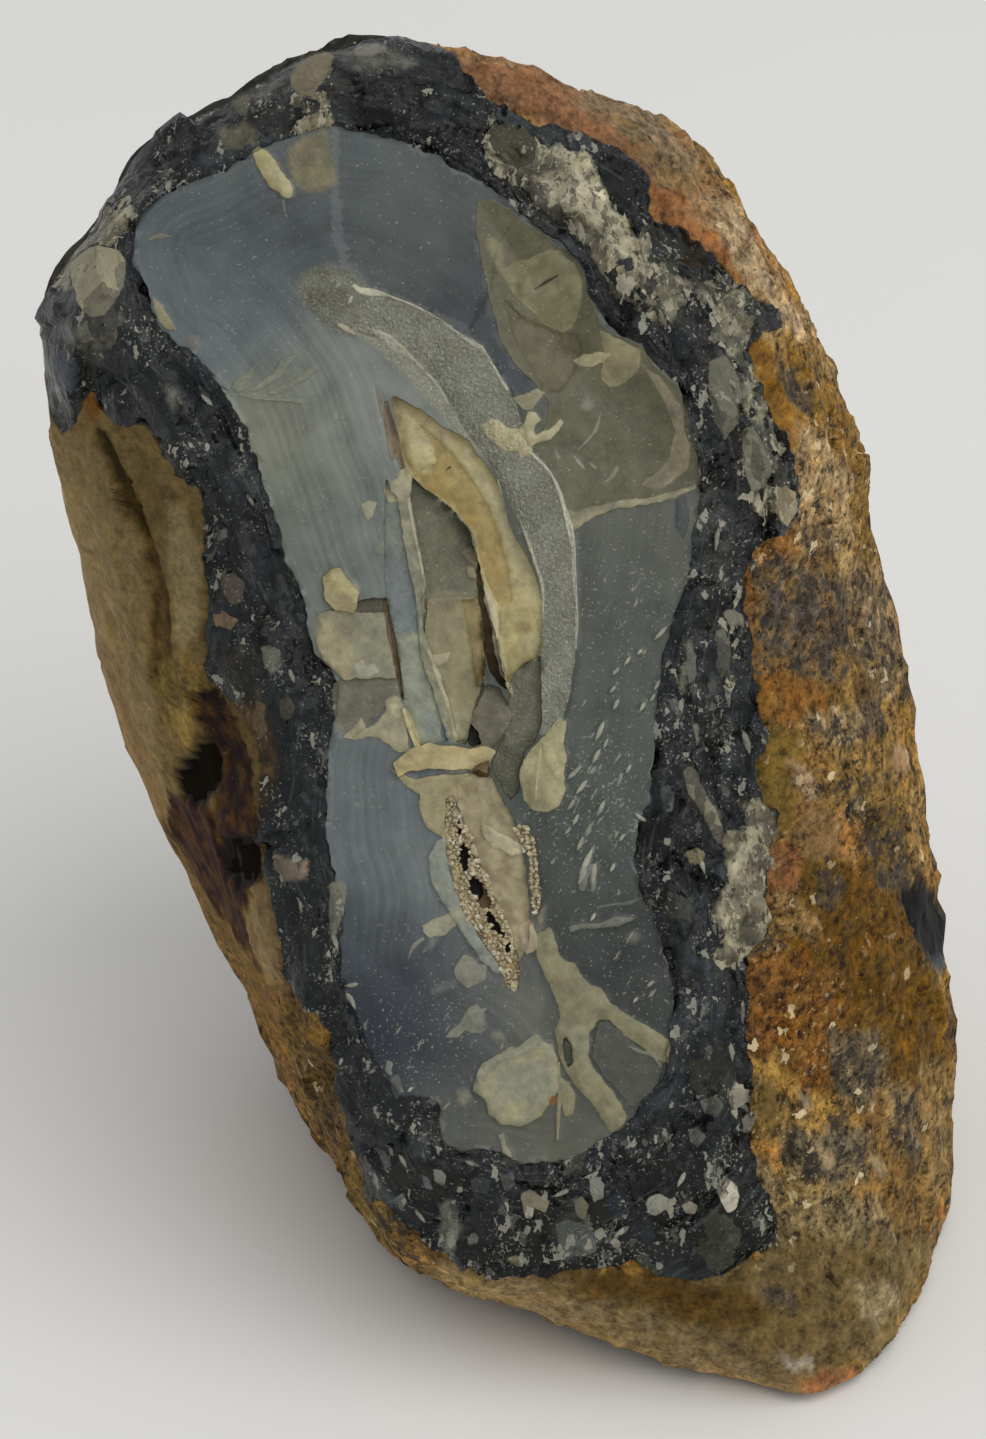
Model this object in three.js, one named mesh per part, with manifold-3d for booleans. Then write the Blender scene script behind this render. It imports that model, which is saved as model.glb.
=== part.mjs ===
// Agate geode: a hand-sized nodule of agate, broken open along one face, standing on a small flat
// of its own skin. Millimetres, +Z up, origin under the middle of the stone's box.
// The broken face looks towards -Y and leans back. Its own frame is (u, v, w): u runs right,
// v up along the face and w straight out of it, from FACE_CENTRE.
import * as THREE from "three";
import { ImprovedNoise } from "three/addons/math/ImprovedNoise.js";
import { mergeVertices } from "three/addons/utils/BufferGeometryUtils.js";
import Module from "manifold-3d";

// Driving dimensions
const FACE_CENTRE = new THREE.Vector3(-1.6, -18.9, 57.6); // the face's own origin in the stone's frame
const FACE_LEAN = THREE.MathUtils.degToRad(30); // how far the broken face leans back from upright
const BACK_DEPTH = 62; // from the face plane to the deepest point of the rounded back
const BACK_CENTRE = new THREE.Vector2(6, -28); // u and v of that deepest point
const BACK_OVAL = new THREE.Vector2(40, 52); // half width and half length the girth rounds off to
const BACK_ROUNDNESS = 0.85; // 1 is an ellipse, less is fuller towards the corners
const SHOULDER_FULLNESS = 0.55; // how far the skin bulges between the face's edge and the girth
const RIM_START = 0.72; // share of the face's radius where its rim begins to fall away
const SLIT_CENTRE = new THREE.Vector3(-0.5, -15.2, 0.4);
const SLIT_HALF = new THREE.Vector3(1.7, 9.8, 6.6); // half width, half length and depth of the slit
const SLIT_TURN = THREE.MathUtils.degToRad(24); // its lower end swings to the right

const BASE_ROUNDING = 4; // radius at which the skin turns under into the flat it stands on
const CUT_DEPTH = 0.3; // what the ground's plane takes off, so that the flat is a true plane
const GROUND = { side: 300, depth: 60 }; // the block that cuts the flat

// The edge of the broken face, clockwise from the top: u, v, w
const FACE_EDGE = [
  [-12, 58.6, -4],
  [-6.2, 58.4, -4],
  [-1, 55.6, -3],
  [6, 52, -2],
  [12.2, 48.6, -2],
  [18.4, 41.6, -2],
  [23.4, 36.5, -3],
  [25, 27, -2],
  [26, 20, -2],
  [23.4, 13, -1],
  [22.2, 5, -1],
  [23.8, -2, -1],
  [24, -12, -1],
  [22.8, -22, -1],
  [22, -31.4, -1],
  [23.6, -39, -2],
  [24.8, -44.6, -3],
  [21.5, -47.8, -3],
  [15, -48.9, -3],
  [7, -48.6, -3],
  [1.5, -49, -3],
  [-4, -47.6, -4],
  [-8.8, -44, -4],
  [-12, -38.5, -4],
  [-13.6, -31, -4],
  [-16, -25, -3],
  [-19, -19, -3],
  [-20.4, -11, -3],
  [-20.9, -3.5, -3],
  [-22.8, 3, -3],
  [-25.4, 10, -3],
  [-27.2, 17.5, -4],
  [-31.2, 23.5, -6],
  [-36.6, 29.4, -8],
  [-38.3, 35, -9],
  [-37, 40, -8],
  [-33.4, 44.8, -7],
  [-30, 50.3, -7],
  [-24.4, 53.3, -6],
  [-17.4, 56.6, -5],
];

// The girth, where the stone is widest as seen square to the face, clockwise from the top: u, v, w
const GIRTH = [
  [-12.4, 61.3, -9],
  [-6.5, 61.1, -10],
  [0.9, 60.2, -13],
  [7.7, 58, -20],
  [14.8, 55.8, -24],
  [19.5, 53, -27],
  [25.3, 45.2, -30],
  [30.7, 36.6, -31],
  [34.5, 25.4, -32],
  [37.1, 12.5, -32],
  [39.5, 0.7, -32],
  [41.5, -13.4, -32],
  [43.6, -27, -32],
  [44, -36, -33],
  [43.3, -47.2, -33],
  [39, -55, -20],
  [33.3, -59.8, -12],
  [28.5, -61.6, -8.6],
  [21.9, -59.8, -12],
  [12.1, -57.6, -15],
  [4.3, -54.8, -20],
  [-4.3, -51.6, -26],
  [-8.8, -50.2, -28.5],
  [-13.4, -44.5, -38],
  [-18.3, -38.2, -42],
  [-22.2, -27.9, -38],
  [-26.9, -17, -33],
  [-31.1, -7.8, -30],
  [-35, 2.1, -27],
  [-37.2, 14, -24],
  [-39.6, 22, -20],
  [-40.6, 32.6, -16],
  [-40.2, 39.8, -13],
  [-35.4, 45.2, -12],
  [-31.6, 52, -12],
  [-25.6, 54.9, -11],
  [-17.6, 58.9, -10],
];

// Broad relief of the broken face: centre, half width, half length, turn and height of each swell
const FACE_RELIEF = [
  { u: -1, v: 19, across: 5, along: 15, turn: 16, height: -3 }, // the lens of the banded centre
  { u: 4, v: 35, across: 4, along: 9, turn: 24, height: -2 }, // the shell-shaped scoop
  { u: -14, v: 30, across: 8, along: 14, turn: 8, height: 0.8 }, // the swell beside it
  { u: 14, v: -2, across: 5, along: 16, turn: 0, height: 0.8 },
];

// Swellings of the skin: wavelength and height
const SKIN_SWELLS = [
  { wave: 27, height: 2.6 },
  { wave: 12, height: 0.9 },
];

const GIRTH_SWELL = 0.4; // share of the swellings that the girth takes, so that it keeps its outline

const COLUMNS = 96;
const FACE_ROWS = 12;
const SHOULDER_ROWS = 7;
const BACK_ROWS = 16;
const OUTLINE_SAMPLES = 1440;
const SLIT_FACETS = { round: 20, down: 12 };
const SAME_POINT = 1e-4;

const { lerp, smoothstep } = THREE.MathUtils;
const wasm = await Module();
wasm.setup();

// A closed outline that is read by its bearing round the face's centre.
function outline(points) {
  const corners = points.map((point) => new THREE.Vector3(...point));
  const curve = new THREE.CatmullRomCurve3(corners, true, "centripetal");
  const samples = curve
    .getSpacedPoints(OUTLINE_SAMPLES)
    .slice(1)
    .map((point) => ({ point, bearing: Math.atan2(point.y, point.x) }))
    .sort((a, b) => a.bearing - b.bearing);
  return (bearing) => {
    const found = samples.findIndex((sample) => sample.bearing > bearing);
    const after = samples[found < 0 ? 0 : found];
    const before = samples.at(found < 0 ? -1 : found - 1);
    const turn = 2 * Math.PI;
    const gap = (after.bearing - before.bearing + turn) % turn;
    const share = gap ? ((bearing - before.bearing + turn) % turn) / gap : 0;
    return before.point.clone().lerp(after.point, share);
  };
}

// Height of the face's broad relief over (u, v).
function relief(u, v) {
  let height = 0;
  for (const swell of FACE_RELIEF) {
    const turn = THREE.MathUtils.degToRad(swell.turn);
    const across = (u - swell.u) * Math.cos(turn) + (v - swell.v) * Math.sin(turn);
    const along = (v - swell.v) * Math.cos(turn) - (u - swell.u) * Math.sin(turn);
    height += swell.height * Math.exp(-((across / swell.across) ** 2) - (along / swell.along) ** 2);
  }
  return height;
}

// A point of the broken face, from its centre (share 0) to its edge (share 1).
function facePoint(edge, share) {
  const u = edge.x * share;
  const v = edge.y * share;
  const w = edge.z * smoothstep(share, RIM_START, 1) + relief(u, v) * (1 - share ** 4);
  return new THREE.Vector3(u, v, w);
}

// A point of the skin between the face's edge and the girth.
function shoulderPoint(edge, girth, share) {
  const turn = (share * Math.PI) / 2;
  const straight = edge.clone().lerp(girth, share);
  const bulged = new THREE.Vector3(
    lerp(edge.x, girth.x, Math.sin(turn)),
    lerp(edge.y, girth.y, Math.sin(turn)),
    lerp(edge.z, girth.z, 1 - Math.cos(turn)),
  );
  return straight.lerp(bulged, SHOULDER_FULLNESS);
}

// A point of the rounded back, from the girth (share 0) to the deepest point (share 1).
function backPoint(girth, share) {
  const turn = (share * Math.PI) / 2;
  const spread = Math.cos(turn) ** BACK_ROUNDNESS;
  const depth = Math.sin(turn) ** BACK_ROUNDNESS;
  const bearing = Math.atan2(girth.y, girth.x);
  const u = lerp(girth.x, BACK_OVAL.x * Math.cos(bearing), share);
  const v = lerp(girth.y, BACK_OVAL.y * Math.sin(bearing), share);
  return new THREE.Vector3(
    lerp(BACK_CENTRE.x, u, spread),
    lerp(BACK_CENTRE.y, v, spread),
    lerp(girth.z, -BACK_DEPTH, depth),
  );
}

// The skin's swellings push a point in or out.
const noise = new ImprovedNoise();
function swollen(point, share) {
  const outward = new THREE.Vector3(point.x, point.y, point.z + BACK_DEPTH / 2).normalize();
  let height = 0;
  for (const { wave, height: most } of SKIN_SWELLS) {
    height += most * noise.noise(point.x / wave, point.y / wave, point.z / wave);
  }
  return point.addScaledVector(outward, height * share);
}

// The whole stone before its flat is cut: rings of points from the face's centre to the back.
function noduleGeometry() {
  const edgeAt = outline(FACE_EDGE);
  const girthAt = outline(GIRTH);
  const rings = [];
  const columns = Array.from({ length: COLUMNS }, (_, i) => (2 * Math.PI * (i + 0.5)) / COLUMNS - Math.PI);
  const spokes = columns.map((bearing) => ({ edge: edgeAt(bearing), girth: girthAt(bearing) }));
  for (let row = 1; row <= FACE_ROWS; row++) {
    rings.push(spokes.map(({ edge }) => facePoint(edge, row / FACE_ROWS)));
  }
  for (let row = 1; row <= SHOULDER_ROWS; row++) {
    const share = row / SHOULDER_ROWS;
    const swell = share * GIRTH_SWELL;
    rings.push(spokes.map(({ edge, girth }) => swollen(shoulderPoint(edge, girth, share), swell)));
  }
  for (let row = 1; row < BACK_ROWS; row++) {
    const share = row / BACK_ROWS;
    const swell = lerp(GIRTH_SWELL, 1, share);
    rings.push(spokes.map(({ girth }) => swollen(backPoint(girth, share), swell)));
  }
  const first = new THREE.Vector3(0, 0, relief(0, 0));
  const last = swollen(new THREE.Vector3(BACK_CENTRE.x, BACK_CENTRE.y, -BACK_DEPTH), 1);
  const points = [first, ...rings.flat(), last];
  const index = [];
  const at = (ring, column) => 1 + ring * COLUMNS + (column % COLUMNS);
  for (let c = 0; c < COLUMNS; c++) {
    index.push(0, at(0, c), at(0, c + 1));
    index.push(points.length - 1, at(rings.length - 1, c + 1), at(rings.length - 1, c));
    for (let r = 0; r < rings.length - 1; r++) {
      index.push(at(r, c), at(r + 1, c), at(r + 1, c + 1));
      index.push(at(r, c), at(r + 1, c + 1), at(r, c + 1));
    }
  }
  return new THREE.BufferGeometry().setFromPoints(points).setIndex(index);
}

// The open slit at the middle of the face: a lens that reaches into the stone.
function slitGeometry() {
  return new THREE.SphereGeometry(1, SLIT_FACETS.round, SLIT_FACETS.down)
    .scale(SLIT_HALF.x, SLIT_HALF.y, SLIT_HALF.z)
    .rotateZ(SLIT_TURN)
    .translate(SLIT_CENTRE.x, SLIT_CENTRE.y, SLIT_CENTRE.z);
}

// From the face's frame to the stone's frame.
function standing(geometry) {
  return geometry
    .rotateX(Math.PI / 2 - FACE_LEAN)
    .translate(FACE_CENTRE.x, FACE_CENTRE.y, FACE_CENTRE.z);
}

// The skin turns under into the flat: what would reach below the ground is drawn up to it.
function settled(geometry) {
  const position = geometry.attributes.position;
  for (let i = 0; i < position.count; i++) {
    const above = position.getZ(i) + CUT_DEPTH;
    const eased = Math.max(above + BASE_ROUNDING, 0) ** 2 / (4 * BASE_ROUNDING);
    if (above < BASE_ROUNDING) position.setZ(i, eased - CUT_DEPTH);
  }
  return geometry;
}

function solid(geometry) {
  const bare = geometry.clone();
  bare.deleteAttribute("normal");
  bare.deleteAttribute("uv");
  const merged = mergeVertices(bare, SAME_POINT);
  return new wasm.Manifold(
    new wasm.Mesh({
      numProp: 3,
      vertProperties: merged.attributes.position.array,
      triVerts: new Uint32Array(merged.index.array),
    }),
  );
}

function geometryOf(manifold) {
  const mesh = manifold.getMesh();
  return new THREE.BufferGeometry()
    .setAttribute("position", new THREE.BufferAttribute(mesh.vertProperties, 3))
    .setIndex(new THREE.BufferAttribute(mesh.triVerts, 1));
}

function stone() {
  const { side, depth } = GROUND;
  const ground = new THREE.BoxGeometry(side, side, depth).translate(0, 0, -depth / 2);
  const body = solid(settled(standing(noduleGeometry())))
    .subtract(solid(standing(slitGeometry())))
    .subtract(solid(ground));
  const skin = new THREE.MeshStandardMaterial({ color: 0x6b5a3c, roughness: 0.75, metalness: 0 });
  const mesh = new THREE.Mesh(geometryOf(body), skin);
  mesh.name = "agate_nodule";
  return mesh;
}

const geode = new THREE.Group();
geode.add(stone());

export default geode;
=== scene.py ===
"""The looks of an agate geode: a broken nodule with a banded face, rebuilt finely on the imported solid."""

import math
from dataclasses import dataclass, field

import bmesh
import bpy
import numpy as np
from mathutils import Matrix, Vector
from mathutils.bvhtree import BVHTree
from mathutils.geometry import delaunay_2d_cdt
from mathutils.kdtree import KDTree
from mathutils.noise import fractal


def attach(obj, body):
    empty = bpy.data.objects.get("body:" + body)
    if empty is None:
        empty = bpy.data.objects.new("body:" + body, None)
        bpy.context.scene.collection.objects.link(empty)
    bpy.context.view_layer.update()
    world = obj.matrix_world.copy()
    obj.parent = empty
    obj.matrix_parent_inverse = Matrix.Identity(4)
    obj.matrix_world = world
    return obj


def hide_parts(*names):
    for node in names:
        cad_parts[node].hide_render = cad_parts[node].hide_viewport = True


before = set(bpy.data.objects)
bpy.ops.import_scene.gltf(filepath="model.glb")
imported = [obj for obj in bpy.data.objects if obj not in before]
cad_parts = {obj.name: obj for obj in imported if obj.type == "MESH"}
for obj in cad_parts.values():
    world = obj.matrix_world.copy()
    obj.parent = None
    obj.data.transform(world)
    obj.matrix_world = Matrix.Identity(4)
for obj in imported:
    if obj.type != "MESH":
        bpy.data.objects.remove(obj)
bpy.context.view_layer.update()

# ---------------------------------------------------------------------------------------------
# The face's own frame, in mm: u right, v up along the broken face, w out of it
# ---------------------------------------------------------------------------------------------
MM = 0.001
NODE = "agate_nodule"
FACE_CENTRE = np.array([-1.6, -18.9, 57.6])
FACE_LEAN = math.radians(30)
AXES = np.array(
    [
        [1.0, 0.0, 0.0],
        [0.0, math.sin(FACE_LEAN), math.cos(FACE_LEAN)],
        [0.0, -math.cos(FACE_LEAN), math.sin(FACE_LEAN)],
    ]
)
CAMERA_DISTANCE = 400.0  # square to the face, from its centre
PICTURE_HEIGHT = 125.2  # mm of the face plane from the picture's bottom to its top
HEART = np.array([0.0, -2.0, -24.0])  # a point inside the stone that sees all of its skin

# The mesh, mm
PLAIN_STEP = 0.6
RIM_STEP = 0.42
BUSY_STEP = 0.37
BORDER_STEP = 0.26
SKIN_FRONT_STEP = 0.66
SKIN_BACK_STEP = 1.7
BUSY_SIZE = 14.0  # patches smaller than this get the fine mesh
BORDER_HALF = 0.05
CRISP = 0.1  # a patch whose border is no wider than this has it as edges of the mesh
SHEET_MARGIN = 1.2  # how far the fine sheet reaches past the break onto the skin
SKIN_MERIDIAN = 120.0  # about how far it is from the break's edge over the skin to the back
ABOVE_FACE = 60.0  # height where the rays down at the face start
BELOW_FACE = -20.0  # height of a point whose ray meets nothing
BEYOND_SKIN = 150.0  # from the heart, where the rays back at the skin start
SHARP_ANGLE = math.radians(66)

# Numbers of points and of bearings
CURVE_STEPS = 8  # from one corner of a smooth curve to the next
ROUGH_RING = 60  # to measure a ring of skin before it is made
EDGE_BEARINGS = 1440  # round the sheet's edge
EDGE_SMOOTHING = 25  # of those, averaged
EDGE_SLOTS = 240  # in which the break's reach is measured
GIRTH_SLOTS = 120  # and the whole stone's

# The borders of what is drawn, mm
LINE_BEND = 0.05  # how far the edges of a thin line stray, and in what waves
LINE_WAVE = 0.8
WASH_WAVE = 1.6  # the waves in which a soft area's border strays
FAINT_LIFT = 0.075  # a patch that stands out less than this gets the soft border
FAINT_SOFT = 0.5

# The quartz points in the slit: how many, mm wide, their length in widths, how deep their feet are sunk
# in mm, and where the point starts as a share of the length
CRYSTALS = 900
CRYSTAL_WIDTHS = (0.14, 0.48)
CRYSTAL_LENGTHS = (0.8, 2.0)
CRYSTAL_FOOT = 0.2
CRYSTAL_SHOULDER = 0.55
CRYSTAL_CORNERS = 13
GROWN = 0.9  # they grow where the mark druse is stronger than this

# What is painted on each vertex besides its colour
MARKS = ("banding", "band", "frost", "rim", "skin", "druse", "pale", "gloss", "chip", "flakes")

# Skin painted darker than this, 0 to 255, is the painted shade inside a deep hole
DARKEST = 20

# How bright a white surface comes out, linear: on the agate; on skin that the photo doesn't show; and on
# the rim and the skin in view, where it is SKY_LIGHT + normal . LIGHT_SLOPE, and no less than LEAST_LIGHT.
# SHEEN is what the gloss adds to what is seen
LIGHT = 1.18
SKIN_LIGHT = 0.7
SKY_LIGHT = 0.43
LIGHT_SLOPE = np.array([0.09, 0.24, 0.745])
LEAST_LIGHT = 0.35
SHEEN = 0.008
ALBEDO_RANGE = (0.002, 0.9)
QUARTZ_IOR = 1.54
BUMP_STRENGTH = 0.9

# The room: its even light, one window in metres and watts, and the floor
ROOM_COLOUR = (0.96, 0.98, 1.0, 1)
ROOM_LIGHT = 0.72
WINDOW_PLACE = (0.545, -0.545, 0.97)
WINDOW_TARGET = (0, 0, 0.05)
WINDOW_SIZE = 1.6
WINDOW_POWER = 11.4
WINDOW_COLOUR = (1.0, 0.985, 0.96)
FLOOR_HALF = 3.0
SENSOR_WIDTH = 36.0
CLIP_NEAR, CLIP_FAR = 0.01, 20.0

# The stray flakes' direction and what is square to it on the face, in the stone's frame
FLAKE_RUN = (0.5, 0.43, 0.75)
FLAKE_SIDE = (0.87, -0.25, -0.43)


def to_face(metres):
    return (np.asarray(metres) / MM - FACE_CENTRE) @ AXES.T


def to_stone(face_mm):
    return (face_mm @ AXES + FACE_CENTRE) * MM


def read_vectors(items, name):
    """A vector property of all vertices of a mesh, a row for each."""
    values = np.empty(len(items) * 3)
    items.foreach_get(name, values)
    return values.reshape(-1, 3)


# ---------------------------------------------------------------------------------------------
# Noise and outlines
# ---------------------------------------------------------------------------------------------
def noise(points, wave, seed=0, octaves=1):
    """Smooth noise between about -1 and 1, with that wavelength in mm."""
    places = np.zeros((len(points), 3))
    places[:, : points.shape[1]] = points / wave
    places += seed * np.array([17.31, -9.17, 5.73])
    return np.array([fractal(place, 1.0, 2.0, octaves) for place in places.tolist()])


def shifts(points, wave, seeds, octaves=1):
    """Two noises at each point, to shift it in u and in v."""
    return np.column_stack([noise(points, wave, seed, octaves) for seed in seeds])


def blend(values, where, goal, share):
    """Moves the values there towards the goal, each by its share of the way."""
    values[where] += (goal - values[where]) * share


def smoothstep(value, low, high):
    share = np.clip((value - low) / (high - low), 0, 1)
    return share * share * (3 - 2 * share)


def resampled(points, step, closed=True):
    """The polyline with points that far apart."""
    points = np.asarray(points, float)
    if closed:
        points = np.vstack([points, points[:1]])
    length = np.concatenate([[0], np.cumsum(np.linalg.norm(np.diff(points, axis=0), axis=1))])
    count = max(3, round(length[-1] / step))
    at = np.linspace(0, length[-1], count, endpoint=not closed)
    return np.column_stack([np.interp(at, length, points[:, i]) for i in range(points.shape[1])])


def curved(points, closed=True):
    """A smooth curve through the points."""
    p = np.asarray(points, float)
    if closed:
        before, start, end, after = np.roll(p, 1, 0), p, np.roll(p, -1, 0), np.roll(p, -2, 0)
    else:
        before, start, end = np.vstack([p[:1], p[:-2]]), p[:-1], p[1:]
        after = np.vstack([p[2:], p[-1:]])
    rows = []
    for t in np.arange(CURVE_STEPS) / CURVE_STEPS:
        rows.append(
            0.5 * (2 * start + (end - before) * t + (2 * before - 5 * start + 4 * end - after) * t**2
                   + (3 * start - before - 3 * end + after) * t**3)
        )
    curve = np.stack(rows, axis=1).reshape(-1, p.shape[1])
    return curve if closed else np.vstack([curve, p[-1:]])


def normals_2d(line, closed=True):
    """Unit normals of a polyline, to the left of its direction."""
    if closed:
        run = np.roll(line, -1, 0) - np.roll(line, 1, 0)
    else:
        run = np.gradient(line, axis=0)
    run /= np.maximum(np.linalg.norm(run, axis=1), 1e-9)[:, None]
    return np.column_stack([-run[:, 1], run[:, 0]])


def nearest_of(points, others):
    """The number of the nearest of the others to each point, and how far it is."""
    finder = KDTree(len(others))
    flat = others.shape[1] == 2
    for i, other in enumerate(others.tolist()):
        finder.insert((*other, 0) if flat else other, i)
    finder.balance()
    found = [finder.find((*point, 0) if flat else point)[1:] for point in points.tolist()]
    return np.array([i for i, _ in found], int), np.array([gap for _, gap in found])


def contains(outline, points):
    """Whether each point is inside the closed outline."""
    u, v = points.T
    held = np.zeros(len(points), bool)
    for (u0, v0), (u1, v1) in zip(outline.tolist(), np.roll(outline, -1, 0).tolist()):
        if v0 != v1:
            held ^= ((v < v0) != (v < v1)) & (u < (u1 - u0) * (v - v0) / (v1 - v0) + u0)
    return held


def signed_distance(points, outline, reach=4.0):
    """How far inside the closed outline each point is, mm; outside it is negative, down to -reach."""
    result = np.full(len(points), -reach)
    low, high = outline.min(0) - reach, outline.max(0) + reach
    near = np.flatnonzero(np.all((points > low) & (points < high), axis=1))
    if not len(near):
        return result
    index, best = nearest_of(points[near], outline)
    before, here, after = outline[index - 1], outline[index], outline[(index + 1) % len(outline)]
    for start, end in ((before, here), (here, after)):
        run, gap = end - start, points[near] - start
        share = np.clip((gap * run).sum(1) / np.maximum((run**2).sum(1), 1e-12), 0, 1)
        best = np.minimum(best, np.linalg.norm(gap - share[:, None] * run, axis=1))
    result[near] = np.where(contains(outline, points[near]), best, np.maximum(-best, -reach))
    return result


def trace(outline):
    """An outline's points in mm, from a text of u,v pairs in tenths of a mm; points stay as they are."""
    if isinstance(outline, str):
        return np.array([pair.split(",") for pair in outline.split()], float) / 10
    return outline


# ---------------------------------------------------------------------------------------------
# Outlines on the face: u,v in tenths of a mm, as in every outline written as a text below
# ---------------------------------------------------------------------------------------------
BREAK = trace("-55,595 -33,572 -7,548 23,524 58,515 93,506 121,489 135,470 138,439 163,426 183,409 202,391 "
    "228,370 258,346 230,332 225,318 234,291 248,257 263,226 267,200 258,170 237,152 222,122 220,104 "
    "225,70 224,35 232,4 241,-17 227,-39 237,-70 249,-83 241,-113 237,-157 241,-183 222,-209 224,-252 "
    "219,-278 228,-313 219,-357 230,-383 239,-418 248,-445 224,-470 189,-485 150,-485 119,-474 71,-480 "
    "19,-487 -24,-478 -55,-457 -85,-437 -111,-413 -117,-391 -129,-339 -137,-296 -151,-261 -177,-235 "
    "-187,-209 -190,-174 -200,-130 -203,-104 -201,-61 -204,-17 -216,4 -242,26 -253,70 -250,113 -255,183 "
    "-277,218 -298,248 -333,265 -349,285 -361,261 -381,244 -403,296 -412,365 -385,426 -333,496 -255,557 "
    "-168,600 -107,618")
AGATE = trace("-309,431 -298,448 -277,461 -246,472 -220,485 -198,498 -177,505 -151,515 -116,511 -85,505 "
    "-55,492 -24,477 6,457 32,433 63,413 77,396 86,365 104,341 128,326 141,309 160,291 169,252 177,226 "
    "179,191 172,139 162,104 151,70 144,26 141,-26 137,-70 128,-87 125,-139 141,-174 152,-218 156,-244 "
    "151,-296 143,-318 130,-331 117,-352 95,-364 71,-381 32,-385 -7,-374 -43,-370 -46,-331 -81,-326 "
    "-107,-287 -124,-252 -133,-204 -129,-161 -144,-113 -143,-35 -137,0 -136,35 -155,61 -165,104 -181,144 "
    "-194,191 -207,231 -224,270 -242,296 -255,315 -272,326 -290,344 -298,365 -307,387 -313,398 -311,422")
FROSTED = trace("-165,374 -152,386 -133,385 -118,380 -98,370 -81,365 -64,358 -46,348 -27,334 -11,324 6,300 "
    "19,278 25,257 32,239 45,224 54,204 63,184 69,157 72,104 73,70 69,35 64,13 60,-2 45,-13 39,4 42,43 "
    "41,70 42,104 37,135 28,161 15,187 6,209 -11,235 -24,252 -36,274 -46,291 -59,303 -72,313 -85,322 "
    "-98,332 -120,338 -135,344 -151,358")
TONGUE = trace("-88,280 -77,277 -64,270 -46,257 -24,244 -11,228 2,209 9,187 17,165 28,144 37,126 42,104 "
    "42,70 39,52 28,50 20,42 13,33 8,48 3,70 -3,94 -9,117 -13,141 -20,165 -33,181 -46,193 -59,202 -70,211 "
    "-77,224 -83,252")
CRACK = trace("-12,139 -8,126 -3,100 3,70 8,45 12,26 6,31 -3,42 -7,57 -9,87 -13,113 -15,129")
OLIVE_SLAB = trace("-70,211 -59,200 -46,192 -33,180 -20,163 -13,139 -10,113 -9,87 -7,52 -8,26 -18,4 "
    "-23,-22 -36,-17 -39,4 -46,22 -57,57 -61,78 -63,104 -59,113 -64,139 -66,165 -71,191")
RIDGE = trace("-81,218 -75,216 -71,191 -67,165 -62,139 -58,111 -63,104 -61,80 -53,57 -44,35 -37,9 -30,-19 "
    "-37,-19 -46,4 -53,26 -62,52 -65,78 -67,104 -74,135 -79,165 -83,191")
BLUE_SLAB = trace("-93,209 -83,191 -79,165 -74,135 -67,104 -65,78 -62,52 -53,26 -46,4 -39,-19 -65,-22 "
    "-74,4 -81,26 -85,52 -90,78 -93,104 -94,139 -95,174")

# ---------------------------------------------------------------------------------------------
# What the agate shows. Colours are as the eye sees them, 0 to 255
# ---------------------------------------------------------------------------------------------
# Soft zones of the agate: place, reach in mm, colour
AGATE_ZONES = [
    ((-28.1, 42.6), 3.0, (71, 79, 81)),
    ((-22.9, 43.1), 3.5, (74, 80, 80)),
    ((-26.4, 37.4), 3.5, (84, 92, 94)),
    ((-21.1, 36.5), 3.0, (80, 88, 92)),
    ((-23.3, 32.2), 2.5, (88, 97, 98)),
    ((-18.5, 41.8), 3.0, (54, 60, 63)),
    ((-9.8, 47.0), 4.0, (70, 77, 77)),
    ((-5.5, 42.6), 3.5, (65, 70, 68)),
    ((-2.0, 37.4), 2.5, (55, 60, 62)),
    ((-15.1, 32.2), 3.0, (103, 108, 103)),
    ((-18.5, 25.2), 3.5, (110, 112, 95)),
    ((-12.4, 26.1), 3.0, (112, 116, 110)),
    ((-15.9, 17.4), 4.0, (96, 102, 94)),
    ((-10.7, 15.7), 3.0, (100, 106, 101)),
    ((-12.9, -3.5), 3.0, (84, 90, 90)),
    ((-9.8, -8.7), 3.5, (90, 97, 98)),
    ((-6.4, -13.9), 3.0, (94, 100, 99)),
    ((-10.7, -20.0), 3.0, (62, 68, 72)),
    ((-8.1, -26.1), 4.0, (38, 44, 53)),
    ((-1.1, -23.5), 3.0, (84, 87, 83)),
    ((2.3, -25.2), 2.0, (96, 98, 86)),
    ((-2.0, -34.8), 4.0, (74, 76, 70)),
    ((4.1, -36.5), 3.0, (84, 84, 72)),
    ((12.8, 13.9), 4.0, (76, 79, 70)),
    ((10.2, 8.7), 4.0, (70, 74, 67)),
    ((10.2, -3.5), 5.0, (66, 71, 65)),
    ((9.3, -13.9), 4.0, (62, 67, 61)),
    ((11.0, -21.8), 4.0, (39, 43, 40)),
    ((12.8, -28.7), 3.0, (52, 56, 50)),
]

# Where the agate is full of small stray flakes: place, reach in mm, how many
FLAKE_ZONES = [
    ((9.3, -7.0), 5.0, 1.1),
    ((12.8, 10.4), 4.0, 0.8),
    ((-8.1, -29.6), 4.0, 0.7),
    ((12.8, -20.9), 4.0, 0.6),
    ((-13.3, 23.5), 5.0, 0.35),
    ((-20.3, 36.5), 5.0, 0.3),
    ((-1.1, -24.4), 4.0, 0.5),
    ((-5.5, 13.9), 3.0, 0.5),
]

BRIGHT_LINE = trace("-123,379 -98,372 -81,365 -64,358 -46,348 -27,335 -11,324 6,299 19,278 32,244 50,218 "
    "61,187 68,157 72,104 73,70 67,35 61,0 45,-17")
TONGUE_EDGE = TONGUE[:13]
RIDGE_LINE = trace("-77,216 -70,191 -65,165 -60,139 -59,111 -61,87 -55,57 -46,35 -39,9 -32,-19")


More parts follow.
